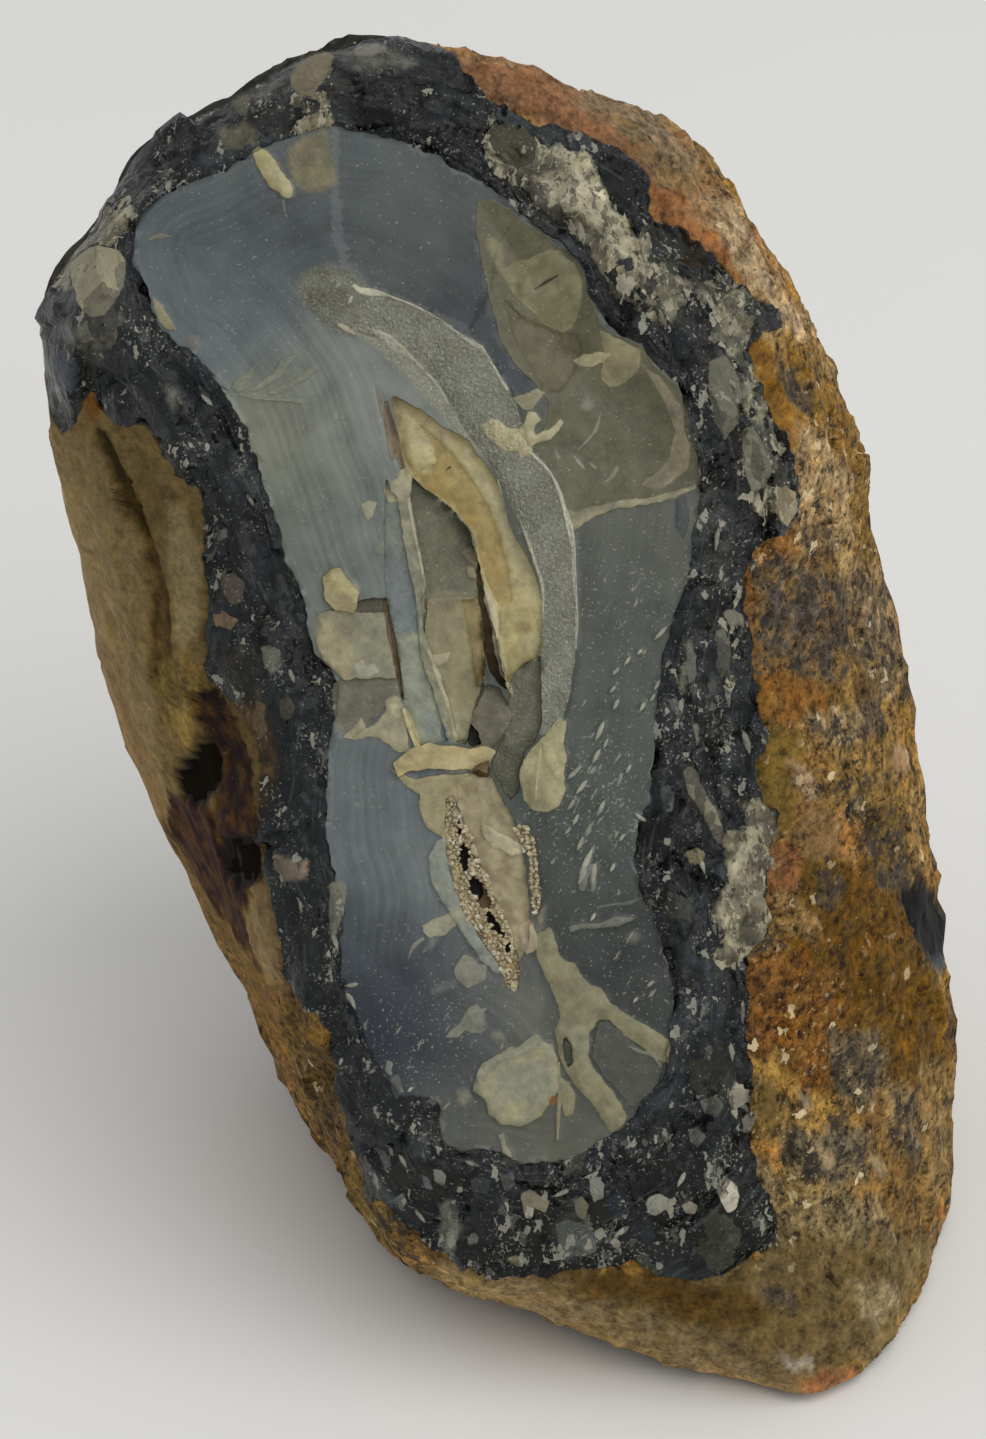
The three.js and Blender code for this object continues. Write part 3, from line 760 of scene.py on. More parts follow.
SKIN_WASHES = [
    # the upper left edge, where the dark rim runs over the skin
    Wash("-412,357 -403,452 -351,531 -272,574 -211,613 -142,622 -64,618 -55,592 -142,574 -220,539 -281,513 "
        "-316,470 -342,418 -377,365", (46, 45, 38), (30, 31, 29), wander=0.5, soft=0.6,
        marks={"gloss": 0.2}),
    # the right side, from the top down
    Wash("-55,600 23,587 128,557 180,487 232,418 267,348 258,339 197,396 145,461 119,492 23,526 -33,574",
        (124, 98, 68), (108, 78, 52), wander=1.2, soft=2.0,
        marks={"chip": 0.1, "pale": 0.2, "flakes": 0.6}),
    Wash("-37,579 -3,574 58,557 110,531 145,483 128,461 119,492 58,517 -7,548", (124, 86, 58),
        (112, 82, 58), wander=1.0, soft=1.5, marks=CLEAN),
    Wash("58,574 128,544 180,487 171,452 128,496 76,535", (116, 98, 74), (100, 84, 60), wander=1.2,
        soft=1.2),
    Wash("133,472 163,461 180,435 211,398 224,374 197,398 171,419 142,431", (140, 92, 54), (128, 92, 60),
        wander=0.6, soft=0.8, marks=CLEAN),
    Wash("180,461 215,439 241,391 276,339 267,326 232,365 197,418", (146, 128, 100), (132, 110, 82),
        wander=1.0, soft=1.2, marks={"chip": 0.5, "pale": 0.3}),
    Wash("219,339 241,322 267,278 258,209 245,174 237,244 228,287", (120, 84, 32), (112, 82, 40),
        wander=1.0, soft=1.0, marks=CLEAN),
    Wash("250,339 293,296 328,218 345,139 319,139 293,209 267,278", (100, 76, 38), (90, 68, 34), wander=1.2,
        soft=1.2, marks=CRUMBS),
    Wash("248,313 264,308 274,285 281,268 267,271 253,289", (66, 58, 48), (82, 70, 50), wander=0.6,
        soft=0.5, lift=-0.2, marks={"chip": 0.8}),
    Wash("258,261 293,252 311,209 319,157 267,139 254,174 267,218", (134, 113, 80), (114, 92, 62),
        wander=1.2, soft=1.0, marks=CRUMBS),
    Wash("197,165 267,167 267,139 250,113 217,104 196,139", (122, 88, 50), (104, 76, 42), wander=0.8,
        soft=0.6, marks={"chip": 0.3, "pale": 0.5}),
    Wash("267,174 293,172 290,139 267,134", (84, 70, 50), (100, 80, 50), wander=0.8, soft=0.6,
        marks={"chip": 0.6}),
    Wash("232,134 267,139 311,122 319,87 311,52 293,26 267,35 229,42 224,87", (76, 68, 58), (94, 74, 46),
        wander=1.2, soft=0.8, lift=-0.2, marks={"chip": 1.0, "pale": 0.2}),
    Wash("197,139 232,122 236,70 232,26 197,26 193,87", (106, 74, 40), (92, 70, 44), wander=0.6, soft=0.5,
        marks={"chip": 0.3, "pale": 0.2}),
    Wash("312,139 337,130 354,70 358,17 337,17 321,61 309,104", (112, 94, 68), (86, 72, 52), wander=1.0,
        soft=0.8, marks=CHIPPY),
    Wash("197,38 258,40 302,28 293,4 267,-2 241,-7 199,3", (114, 78, 38), (100, 74, 38), wander=0.8,
        soft=0.6, marks={"chip": 0.2, "pale": 0.1, "flakes": 0.6}),
    Wash("271,7 311,10 328,-3 311,-26 280,-28", (128, 110, 82), (106, 88, 60), wander=0.8, soft=0.5,
        marks=CHIPPY),
    Wash("316,17 340,19 347,0 337,-16 319,-12", (72, 62, 50), (84, 72, 56), wander=0.5, soft=0.5,
        lift=-0.15, marks={"chip": 0.9}),
    Wash("344,-21 354,-19 364,-28 363,-42 351,-49 344,-38", (142, 116, 86), (128, 102, 74), wander=0.2,
        soft=0.2, lift=0.25, marks=SMOOTH),
    Wash("197,-9 245,-2 269,-17 267,-52 258,-93 215,-96 206,-61", (106, 84, 40), (94, 76, 38), wander=0.6,
        soft=0.6, marks={"chip": 0.0, "pale": 0.3, "flakes": 0.4, "gloss": 0.45}),
    Wash("255,-33 267,-38 279,-54 283,-70 272,-73 262,-57", (134, 112, 86), (112, 92, 68), wander=0.2,
        soft=0.2, lift=0.25, marks=CRUMBS),
    Wash("284,-26 337,-17 358,-61 354,-96 319,-87 289,-70", (112, 88, 50), (94, 76, 44), wander=1.0,
        soft=0.8, marks={"chip": 0.7, "pale": 0.6}),
    Wash("269,-77 289,-75 302,-96 300,-127 280,-129 267,-104", (120, 95, 62), (108, 84, 54), wander=0.25,
        soft=0.25, lift=0.25, marks={"chip": 0.1, "pale": 0.2, "flakes": 0.4}),
    Wash("319,-70 354,-74 367,-113 358,-157 337,-139 326,-104", (72, 60, 38), (88, 70, 40), wander=0.8,
        soft=0.8, marks={"chip": 1.0, "pale": 0.4}),
    Wash("309,-71 317,-74 318,-85 311,-89 305,-80", (24, 20, 16), wander=0.2, soft=0.25, lift=-0.4),
    Wash("215,-106 267,-110 278,-139 258,-157 215,-155", (128, 86, 54), (108, 76, 48), wander=0.6, soft=0.6,
        marks={"chip": 0.1, "pale": 0.5, "flakes": 0.6}),
    Wash("267,-124 337,-122 367,-148 380,-209 398,-296 354,-322 293,-278 258,-209", (87, 62, 22),
        (78, 57, 20), wander=1.2, soft=1.2,
        marks={"chip": 0.15, "pale": 0.35, "flakes": 0.75, "gloss": 0.4}),
    Wash("281,-132 304,-132 307,-165 286,-167", (66, 56, 42), (82, 68, 44), wander=0.4, soft=0.4,
        marks={"chip": 1.0}),
    Wash("328,-124 358,-129 370,-148 354,-153 337,-143", (68, 60, 48), (86, 74, 52), wander=0.6, soft=0.5,
        marks={"chip": 1.0}),
    Wash("240,-155 251,-147 267,-158 290,-178 284,-195 263,-191 245,-177", (116, 92, 58), (98, 78, 46),
        wander=0.3, soft=0.3, lift=0.22, marks=CRUMBS),
    Wash("197,-205 263,-202 271,-244 263,-287 237,-296 197,-292", (106, 72, 38), (90, 62, 34), wander=0.8,
        soft=0.8, marks={"chip": 0.1, "pale": 0.5}),
    Wash("254,-209 293,-213 311,-252 302,-322 267,-322 250,-278", (108, 74, 36), (92, 64, 32), wander=0.8,
        soft=0.8, marks=CRUMBS),
    Wash("291,-272 337,-270 342,-313 325,-339 298,-327", (82, 72, 54), (98, 84, 60), wander=0.8, soft=0.5,
        marks=CHIPPY),
    Wash("235,-319 248,-317 251,-339 243,-355 234,-346", (122, 102, 74), wander=0.3, soft=0.3, lift=0.12,
        marks=SMOOTH),
    Wash("269,-324 277,-322 280,-336 272,-343", (134, 120, 94), wander=0.2, soft=0.25, lift=0.12,
        marks=SMOOTH),
    Wash("206,-296 258,-322 267,-357 258,-374 206,-357", (100, 80, 44), (112, 90, 54), wander=0.8,
        soft=0.8),
    Wash("253,-361 280,-355 326,-353 328,-397 309,-409 276,-400 255,-388", (84, 76, 60), (104, 90, 66),
        wander=0.7, soft=0.5, marks=CHIPPY),
    Wash("281,-376 291,-373 297,-385 291,-396 282,-391", (140, 122, 92), wander=0.2, soft=0.25, lift=0.15,
        marks=SMOOTH),
    Wash("328,-379 337,-378 340,-391 333,-398", (134, 118, 88), wander=0.2, soft=0.25, lift=0.12,
        marks=SMOOTH),
    Wash("344,-322 370,-320 378,-357 370,-383 351,-374", (80, 70, 52), (98, 82, 56), wander=0.7, soft=0.5,
        marks=CHIPPY),
    Wash("371,-296 405,-299 403,-383 380,-444 370,-391", (108, 88, 58), (92, 76, 46), wander=1.0, soft=1.0,
        marks={"chip": 0.3, "pale": 0.4}),
    Wash("215,-374 293,-409 337,-418 345,-461 284,-470 215,-461 211,-431", (118, 102, 72), (106, 90, 62),
        wander=1.0, soft=0.8, marks=CRUMBS),
    Wash("309,-439 328,-437 349,-445 347,-466 319,-466", (80, 72, 58), (100, 86, 62), wander=0.7, soft=0.5,
        marks=CHIPPY),
    Wash("358,-146 376,-139 389,-155 394,-183 398,-211 385,-218 375,-202 366,-183", (24, 24, 24),
        (33, 34, 35), wander=0.15, soft=0.15, lift=-0.3,
        marks={"gloss": 0.35, "chip": 0.0, "pale": 0.0, "flakes": 0.0}),
    Wash("382,-207 391,-204 397,-211 391,-217 384,-216", (70, 72, 76), wander=0.1, soft=0.2, marks=SMOOTH),
    # the bottom
    Wash("-46,-465 58,-480 180,-483 250,-449 354,-452 393,-449 363,-531 284,-600 197,-579 93,-548 -11,-513 "
        "-64,-478", (104, 88, 58), (92, 76, 48), wander=1.4, soft=1.5,
        marks={"chip": 0.0, "pale": 0.2, "flakes": 0.35}),
    Wash("-46,-472 41,-487 128,-513 232,-548 302,-570 232,-583 128,-548 23,-513 -46,-483", (108, 92, 66),
        (96, 80, 54), wander=1.2, soft=1.2, marks=CLEAN),
    Wash("58,-478 145,-477 215,-496 250,-522 197,-531 128,-513 67,-498", (86, 66, 36), (74, 56, 30),
        wander=1.2, soft=1.0, marks=CLEAN),
    Wash("229,-492 244,-491 265,-506 260,-513 241,-506", (50, 48, 46), (76, 68, 56), wander=0.5, soft=0.3,
        marks={"chip": 0.8, "pale": 0.4, "flakes": 0.8}),
    Wash("316,-491 335,-487 354,-496 352,-513 335,-524 319,-519", (132, 118, 90), (116, 100, 74),
        wander=0.5, soft=0.4, marks=CRUMBS),
    Wash("254,-559 272,-557 283,-562 278,-569 258,-569", (146, 138, 122), wander=0.3, soft=0.25,
        marks=SMOOTH),
    Wash("267,-578 316,-567 325,-571 302,-595 276,-599", (124, 82, 54), (108, 76, 52), wander=0.5, soft=0.5,
        marks=CLEAN),
    Wash("-93,-437 -77,-440 -55,-459 -43,-477 -64,-473 -83,-459", (96, 74, 44), (70, 54, 34), wander=0.5,
        soft=0.4, lift=0.2),
    # the left side: a smooth outer strip, a narrow groove, an olive strip, then the hollows
    Wash("-403,287 -359,331 -325,304 -255,261 -216,209 -203,139 -207,70 -172,26 -155,-61 -146,-157 "
        "-137,-235 -220,-157 -281,-87 -333,0 -359,87 -394,191", (89, 75, 47), (80, 66, 41), wander=0.8,
        soft=1.0, marks=SMOOTH),
    Wash("-403,252 -359,258 -349,248 -325,199 -308,161 -304,127 -301,78 -298,35 -289,-13 -279,-71 "
        "-272,-104 -316,-70 -351,17 -377,87 -403,174", (98, 84, 58), (92, 77, 51), wander=0.3, soft=0.35,
        lift=0.3, marks=SMOOTH),
    Wash("-377,104 -338,70 -316,17 -290,-52 -274,-96 -316,-70 -351,17", (90, 72, 48), wander=0.6, soft=1.2,
        marks=SMOOTH),
    Wash("-354,283 -333,274 -313,248 -284,224 -260,184 -251,161 -251,104 -257,70 -270,57 -281,70 -284,113 "
        "-291,152 -307,187 -326,224 -345,257", (94, 80, 51), (85, 72, 45), wander=0.3, soft=0.35, lift=0.15,
        marks=SMOOTH),
    Wash("-283,191 -264,178 -251,139 -255,87 -267,61 -276,87 -279,139", (111, 99, 71), wander=0.5, soft=0.8,
        marks=SMOOTH),
    Wash("-358,285 -345,285 -337,270 -344,258 -354,268", (99, 68, 33), wander=0.3, soft=0.5, marks=SMOOTH),
    Wash("-347,254 -338,249 -323,221 -312,191 -302,165 -307,157 -318,181 -331,212 -345,240", (45, 38, 17),
        (53, 43, 20), wander=0.2, soft=0.35, lift=-0.6, marks=SMOOTH),
    Wash("-307,172 -297,157 -284,113 -279,70 -283,35 -293,26 -298,70 -302,113", (76, 60, 36), (56, 43, 24),
        wander=0.4, soft=0.4, lift=-0.35, marks={"flakes": 0.3}),
    Wash("-295,43 -272,59 -248,45 -243,26 -255,0 -281,-17 -291,0", (97, 79, 45), (81, 67, 35), wander=0.5,
        soft=0.5, marks={"flakes": 0.3}),
    Wash("-274,6 -262,9 -258,-13 -265,-24 -274,-19", (117, 95, 49), wander=0.3, soft=0.4),
    Wash("-283,-61 -255,-70 -234,-92 -218,-122 -203,-178 -199,-222 -222,-191 -255,-144 -278,-100",
        (54, 38, 16), (34, 24, 9), wander=0.6, soft=0.4, marks={"flakes": 0.4}),
    Wash("-262,21 -243,26 -224,0 -210,-43 -204,-96 -203,-139 -217,-148 -236,-130 -244,-96 -243,-52 "
        "-250,-17", (58, 42, 24), (30, 21, 11), wander=0.5, soft=0.35, lift=-0.3, marks={"flakes": 0.4}),
    # the insides of two deep holes, painted near-black as the shade in them
    Wash("-276,-52 -271,-38 -262,-28 -255,-19 -244,-21 -238,-35 -239,-52 -247,-70 -258,-75 -270,-68",
        (6, 6, 6), (5, 5, 5), wander=0.15, soft=0.3, lift=-0.7, marks=SMOOTH),
    Wash("-238,-103 -220,-101 -208,-113 -208,-139 -222,-148 -234,-132", (14, 9, 4), (20, 13, 6), wander=0.3,
        soft=0.4, lift=-0.5, marks=SMOOTH),
    Wash("-208,-139 -196,-148 -185,-191 -184,-222 -196,-231 -208,-200 -213,-165", (99, 85, 59),
        (88, 72, 49), wander=0.3, soft=0.4, marks=SMOOTH),
    Wash("-187,-209 -168,-261 -137,-296 -124,-357 -119,-400 -142,-374 -168,-322 -185,-270", (70, 56, 36),
        (54, 44, 28), wander=0.8, soft=0.8),
    Wash("-133,-374 -114,-400 -91,-435 -98,-452 -124,-418", (77, 63, 37), (57, 48, 32), wander=0.6,
        soft=0.6),
]


def slope(line, start, fall, least=-9.0):
    """A height that starts at a line and falls by that much per mm away from it."""
    return lambda points, depth: np.maximum(start - fall * distance_to(points, line), least)


def level(height, roughness=0.0, wave=1.5):
    return lambda points, depth: height + roughness * noise(points, wave, octaves=3)


def raised(height, bevel=0.3, roughness=0.0):
    """A chip standing out, its edge bevelled."""
    def lift(points, depth):
        return smoothstep(depth, -0.05, bevel) * (0.7 * height + roughness * noise(points, 1.2, octaves=2))
    return lift


def crisp_patches():
    """The crisp-edged areas inside the agate, from the lowest to the topmost."""
    found = []

    def put(outline, colour=None, second=None, bend=0.14, wave=0.9, curve=False, **more):
        lift = more.get("lift")
        if isinstance(lift, float) and abs(lift) < FAINT_LIFT and "level" not in more:
            more = {"soft": FAINT_SOFT, **more}
        broken = irregular(trace(outline), bend, wave, seed=len(found), curve=curve)
        found.append(Patch(broken, colour, second, **more))

    def line(points, widths, colour, second=None, **more):
        outline = band_outline(trace(points), widths, seed=len(found))
        found.append(Patch(outline, colour, second, **more))

    # The olive window under the rim at the top
    put("-180,496 -170,503 -157,510 -145,516 -142,499 -138,482 -136,465 -145,460 -157,458 -170,462 "
        "-177,477", (112, 106, 78), (98, 94, 72), lift=-0.05)
    # The plate right of the faint seam at the top, a hair lower
    put("-137,520 -114,515 -81,508 -46,496 -11,474 23,439 6,418 -3,374 -20,339 -46,350 -81,366 -116,379 "
        "-129,398 -136,422 -137,461", lift=-0.1, bend=0.05)
    # The smoky hollow at the upper right, a shell-like break
    put("-14,450 -3,454 12,445 27,433 46,421 60,409 73,398 80,386 85,365 94,345 104,336 129,325 142,306 "
        "161,289 172,261 177,231 180,205 171,200 145,192 112,186 93,181 80,174 65,167 60,184 51,209 42,226 "
        "35,233 46,257 49,277 37,291 19,309 6,331 -3,365 -10,400 -15,426", (82, 80, 58), (87, 84, 62),
        lift=shell_hollow, marks={"banding": 0.0})
    # a small facet, painted lighter as its highlight
    put("-6,419 3,419 10,404 12,386 6,390 -1,400", (118, 113, 86), lift=0.06)
    put("6,390 17,398 32,402 48,409 58,407 71,397 77,383 77,361 70,341 60,338 45,345 32,358 18,371",
        (116, 112, 84), (104, 100, 70), lift=fan_ridges)
    put("10,365 25,350 45,343 60,336 73,334 78,320 71,303 58,285 45,289 30,311 17,335", (93, 87, 62),
        (84, 78, 54), lift=-0.15)
    put("93,339 104,334 129,323 128,308 117,294 102,289 93,298 98,317", (126, 120, 90), (112, 106, 78),
        lift=raised(0.15))
    put("70,313 79,318 91,321 102,318 96,311 84,307 74,309", (146, 139, 106), lift=raised(0.2))
    put("128,311 145,298 163,274 171,239 170,218 145,200 128,204 152,224 159,252 149,278", (120, 112, 88),
        (106, 100, 80), lift=raised(0.07, 1.0))
    put("77,278 83,281 88,277 86,271 81,269 77,273", (112, 110, 94), lift=0.05)
    line("36,375 46,381 57,387", [0.1, 0.3, 0.05], (52, 50, 36), lift=-0.1)
    line("94,268 90,254 83,244 74,235", [0.05, 0.25, 0.2, 0.1], (120, 118, 106))
    line("54,235 58,227", [0.1, 0.3], (118, 116, 102))
    line("70,230 76,223 80,218", [0.1, 0.35, 0.1], (120, 118, 104))
    line("84,224 90,219", [0.2, 0.3], (122, 118, 104))
    line("109,221 104,212 97,207", [0.35, 0.4, 0.1], (116, 112, 88))
    put("61,185 72,181 86,185 110,190 132,193 156,198 177,205 178,201 156,192 132,187 110,184 93,179 "
        "79,171 67,162 62,169", (112, 109, 87), (142, 136, 108), lift=raised(0.17, 0.3))

    # The frosted slope under the bright line, with its dome at the upper left
    put(FROSTED, (116, 116, 104), (106, 106, 92), level=slope(BRIGHT_LINE, -0.05, 0.15, -1.1),
        marks={"frost": 1.0}, gain=1.12, curve=True)
    put("-173,376 -163,390 -147,395 -131,393 -117,386 -110,372 -116,351 -124,336 -137,338 -152,348 "
        "-166,362", (98, 99, 86), (86, 84, 70), level=dome, soft=1.2, marks={"frost": 0.6})
    put("-124,339 -114,343 -98,338 -83,324 -68,311 -55,298 -41,278 -20,247 -8,231 -20,238 -36,254 -55,275 "
        "-74,296 -95,317 -110,329", (128, 128, 112), lift=0.07, marks={"frost": 1.0})
    put("18,42 27,49 41,56 42,26 42,-2 37,-19 29,-26 23,-40 22,-63 15,-70 8,-59 -1,-43 3,-28 9,-16 14,4 "
        "13,26", (100, 99, 80), (88, 87, 69), level=level(-1.4, 0.15), marks={"frost": 0.4})
    put("-12,24 -5,31 5,28 12,17 17,3 8,-16 -1,-26 -15,-24 -23,-17 -22,-2", (96, 92, 74), (106, 102, 84),
        level=level(-1.2, 0.2))
    put("-23,-1 -17,-6 -12,-13 -10,-22 -19,-23 -24,-14", (36, 36, 28), level=level(-2.6))

    # The slabs left of the tongue
    put(OLIVE_SLAB, (96, 94, 72), (86, 84, 62), level=slope(RIDGE_LINE, -0.9, 0.22, -2.4),
        marks={"banding": 0.5})
    put("-70,202 -59,198 -46,191 -33,177 -22,162 -16,146 -22,150 -33,165 -46,177 -58,184 -67,183",
        (82, 80, 62), bend=0.08)
    put("-57,104 -42,108 -24,108 -12,104 -10,78 -8,35 -17,10 -24,-17 -36,-19 -41,7 -48,28 -57,57 -60,80",
        (128, 122, 90), (118, 112, 82), lift=0.17)
    put("-57,106 -46,111 -27,113 -22,106 -33,101 -48,97", (116, 109, 84), lift=0.07)
    put("-27,104 -11,106 -8,70 -7,35 -13,26 -18,52 -22,78", (117, 103, 68), (128, 114, 74), lift=-0.2)
    put("-27,146 -20,152 -15,146 -13,134 -20,137", (118, 110, 88), lift=0.1)
    put("-23,134 -17,134 -14,122 -22,124", (122, 114, 92), lift=0.1)
    put(BLUE_SLAB, (106, 112, 106), (116, 119, 108), level=slope(RIDGE_LINE, -0.35, 0.05),
        marks={"banding": 0.8})
    put("-83,70 -65,77 -60,52 -53,26 -46,4 -40,-18 -64,-20 -72,3 -79,24", (136, 139, 118), (126, 130, 112),
        lift=0.05)
    put("-93,139 -77,139 -67,106 -65,80 -81,77 -90,80 -93,104", (104, 111, 108))
    put("-60,4 -52,7 -46,-2 -49,-13 -57,-17 -62,-7", (120, 126, 116), lift=0.07)
    put("-45,-2 -40,-3 -37,-16 -41,-19 -45,-14", (92, 100, 102))
    put(RIDGE, (134, 130, 106), (112, 112, 96), level=level(-0.1, 0.1))
    # pale lines along the ridge's crest, painted as its highlight
    line("-60,115 -62,96 -63,80", [0.2, 0.3, 0.2], (134, 132, 112), lift=0.05)
    line("-74,193 -69,165 -64,143 -59,115", [0.25, 0.2, 0.3, 0.15], (156, 151, 126), lift=0.07)
    line("-57,61 -48,35 -41,17 -33,-16", [0.2, 0.3, 0.4, 0.2], (160, 154, 124), lift=0.07)
    put("-57,56 -44,57 -36,60 -41,50 -50,45 -55,49", (152, 145, 118), lift=raised(0.12))
    put("-53,45 -47,45 -44,35 -50,33", (156, 149, 120), lift=0.07)
    put("-43,19 -36,18 -30,4 -27,-17 -33,-21 -37,-7 -43,7", (148, 143, 112), lift=0.05)
    put("-96,200 -91,206 -84,211 -83,216 -76,218 -70,212 -71,198 -77,191 -83,189 -91,190", (160, 153, 122),
        (134, 130, 108), lift=raised(0.17))
    line("-93,277 -90,257 -84,235 -79,218", [0.3, 0.9, 0.9, 0.3], (92, 78, 56), (104, 92, 70), lift=-0.17)
    line("-102,291 -97,274 -91,252 -88,226", [0.1, 0.5, 0.6, 0.4], (112, 98, 82), lift=-0.05, strength=0.7)

    # The honey tongue and the crack beside it, which is painted dark as the shade in it
    # the crack, painted dark brown as the shade in it
    put(CRACK, (66, 54, 34), (44, 36, 22), level=level(-2.4), marks={"gloss": 0.1})
    put(TONGUE, (157, 148, 112), (150, 138, 98), level=slope(TONGUE_EDGE, -1.25, 0.2, -3.0), gain=1.35,
        curve=True)
    put("-64,258 -50,247 -32,228 -17,209 -3,184 6,160 13,132 17,104 6,99 -1,111 -10,134 -18,162 -30,181 "
        "-44,193 -60,202 -69,211 -60,221 -50,224 -51,238", (148, 132, 86), (140, 122, 76), lift=-0.17)
    put("-84,277 -74,268 -64,259 -53,245 -50,224 -60,218 -70,218 -77,230 -82,252", (150, 142, 106),
        (160, 150, 110), lift=tongue_facets)
    put("-76,257 -67,247 -57,244 -55,230 -65,228 -73,235", (166, 158, 120), lift=0.07)
    put("-69,226 -57,228 -53,219 -60,214 -67,216", (160, 151, 110), lift=0.05)
    # the tongue's right border, painted lighter as its highlight
    put("-46,254 -26,241 -13,226 -1,205 6,184 13,162 23,141 33,120 36,101 27,99 20,122 10,150 1,177 "
        "-10,200 -25,221 -39,237", (164, 156, 124), (156, 146, 108), lift=0.06)
    put("6,96 20,99 37,99 41,70 38,54 27,50 20,42 13,33 9,49 5,70", (152, 142, 100), (144, 134, 92),
        lift=0.1)
    put("17,85 27,87 34,80 27,73 18,77", (126, 114, 78), lift=-0.07)
    put("23,75 37,77 40,56 29,54", (146, 138, 102), lift=0.06)
    put("-8,115 -1,106 3,94 6,70 9,52 12,33 6,40 1,65 -3,91 -8,104", (160, 150, 122), lift=0.12)
    line("12,33 16,24 17,20", [0.5, 0.4, 0.1], (150, 142, 112), lift=0.1)
    line("-41,218 -37,221", [0.05, 0.2], (60, 48, 30))

    # The yellow chip, the block and what lies below them
    # the gap between the yellow chip and the block, painted dark as the shade in it
    put("-118,103 -105,106 -91,105 -90,93 -118,93", (84, 80, 62), level=level(-0.6))
    put("-139,31 -129,36 -83,37 -78,17 -93,12 -100,3 -112,-7 -121,-15 -129,-16 -137,-3 -140,17",
        (100, 99, 82), (92, 90, 74), lift=-0.2)
    put("-153,92 -142,95 -119,94 -91,93 -90,73 -87,56 -83,36 -105,36 -129,34 -138,42 -147,52 -152,63 "
        "-154,70 -150,80", (120, 119, 98), (130, 127, 102), level=level(0.15, 0.1))
    put("-153,90 -145,93 -138,78 -123,70 -119,52 -129,35 -138,42 -147,52 -153,65", (147, 140, 110),
        (138, 130, 98), lift=0.05)
    put("-145,93 -121,93 -122,78 -130,70 -139,75", (122, 119, 92), lift=-0.06)
    put("-121,49 -114,52 -110,47 -104,49 -99,42 -107,37 -117,38", (148, 146, 126), lift=raised(0.1))
    put("-149,124 -142,130 -132,132 -127,124 -117,111 -118,99 -121,93 -137,95 -146,103", (150, 142, 102),
        (140, 128, 90), level=level(0.4, 0.12))
    # the chip's upper edge, painted lighter as its highlight
    put("-132,131 -127,124 -117,111 -124,108 -133,115 -142,127", (162, 154, 112), lift=0.06)
    put("-137,111 -123,108 -118,99 -122,94 -135,97", (138, 124, 92), lift=-0.06)
    line("-95,106 -90,80 -84,50 -79,19", [0.3, 0.6, 0.5, 0.25], (92, 78, 56), lift=-0.25)
    put("-93,18 -84,20 -78,13 -75,-2 -72,-28 -81,-29 -91,-22 -100,-16 -111,-15 -123,-18 -130,-15 -121,-8 "
        "-115,2 -110,-7 -100,-2 -93,7", (148, 142, 114), (138, 132, 106), lift=raised(0.23))
    put("-91,14 -84,17 -81,10 -84,3 -90,6", (166, 159, 126), lift=0.07)
    line("-78,10 -73,-2 -68,-16 -64,-30", [0.4, 0.7, 0.7, 0.3], (168, 161, 118), lift=0.25)

    # The chip right of the slit, and chips lower down
    put("23,-50 26,-35 33,-26 42,-16 51,-8 58,2 64,-2 62,-21 64,-35 61,-49 64,-61 58,-75 48,-81 36,-80 "
        "27,-71", (157, 150, 115), (144, 138, 102), lift=chip_facets)
    put("42,-19 50,-21 58,-35 61,-49 55,-52 46,-38", (162, 155, 116), lift=0.1)
    put("27,-49 41,-52 48,-78 37,-80 28,-70", (130, 124, 92), lift=-0.05)
    line("42,-19 39,-43 37,-70", [0.12, 0.2, 0.1], (162, 156, 122), lift=0.05)
    put("-50,-106 -42,-101 -37,-113 -39,-132 -30,-153 -23,-168 -11,-191 3,-207 10,-219 4,-222 -11,-209 "
        "-28,-183 -43,-161 -54,-139 -56,-120", (122, 127, 116), (132, 135, 120), lift=0.12,
        marks={"banding": 0.3})
    put("-62,-179 -46,-171 -33,-164 -24,-160 -24,-170 -32,-179 -42,-188 -55,-190 -61,-185", (143, 141, 118),
        (128, 126, 104), lift=raised(0.2))
    line("-60,-190 -69,-197 -74,-209", [0.4, 0.3, 0.1], (112, 112, 98))
    put("-35,-218 -26,-204 -19,-206 -13,-213 -5,-213 -7,-227 -13,-230 -22,-234 -32,-226", (122, 121, 103),
        (112, 112, 98), lift=raised(0.17, 0.25), bend=0.06)
    put("-43,-277 -34,-269 -28,-262 -21,-251 -15,-247 -8,-254 -4,-270 -13,-274 -24,-271 -32,-277",
        (114, 115, 100), (98, 100, 90), lift=raised(0.15))
    put("-2,-275 4,-272 10,-277 8,-281 1,-280", (110, 110, 96), lift=0.06)
    put("-31,-325 -24,-323 -20,-328 -23,-336 -31,-335", (108, 106, 88), lift=0.07)
    put("-46,-187 -53,-198 -59,-202 -55,-191", (106, 108, 98), lift=0.05)
    put("-55,-235 -41,-230 -30,-231 -41,-237 -53,-240", (92, 94, 90), lift=0.04)
    put("4,-362 10,-359 12,-372 17,-381 9,-379", (122, 119, 98), lift=0.1)

    # The shell-like fragment at the bottom
    put("-17,-323 -15,-310 -7,-298 6,-290 17,-284 24,-284 32,-281 38,-272 43,-278 51,-282 56,-296 57,-313 "
        "56,-326 49,-334 43,-345 32,-352 19,-355 6,-351 -3,-344 -7,-331", (133, 131, 108), (144, 138, 106),
        level=shell_rings)
    put("-8,-298 6,-290 24,-284 38,-272 44,-278 36,-287 22,-292 6,-299 -4,-308 -13,-318 -15,-310",
        (140, 138, 118), (124, 122, 102), lift=0.12)
    put("6,-303 23,-298 41,-296 51,-301 53,-318 46,-331 27,-334 10,-329 1,-317", (130, 130, 108), lift=0.05)
    put("49,-331 52,-327 57,-329 56,-335 50,-336", (122, 84, 46))
    put("57,-308 67,-318 72,-327 70,-345 62,-346 59,-331", (122, 117, 88), lift=raised(0.15))

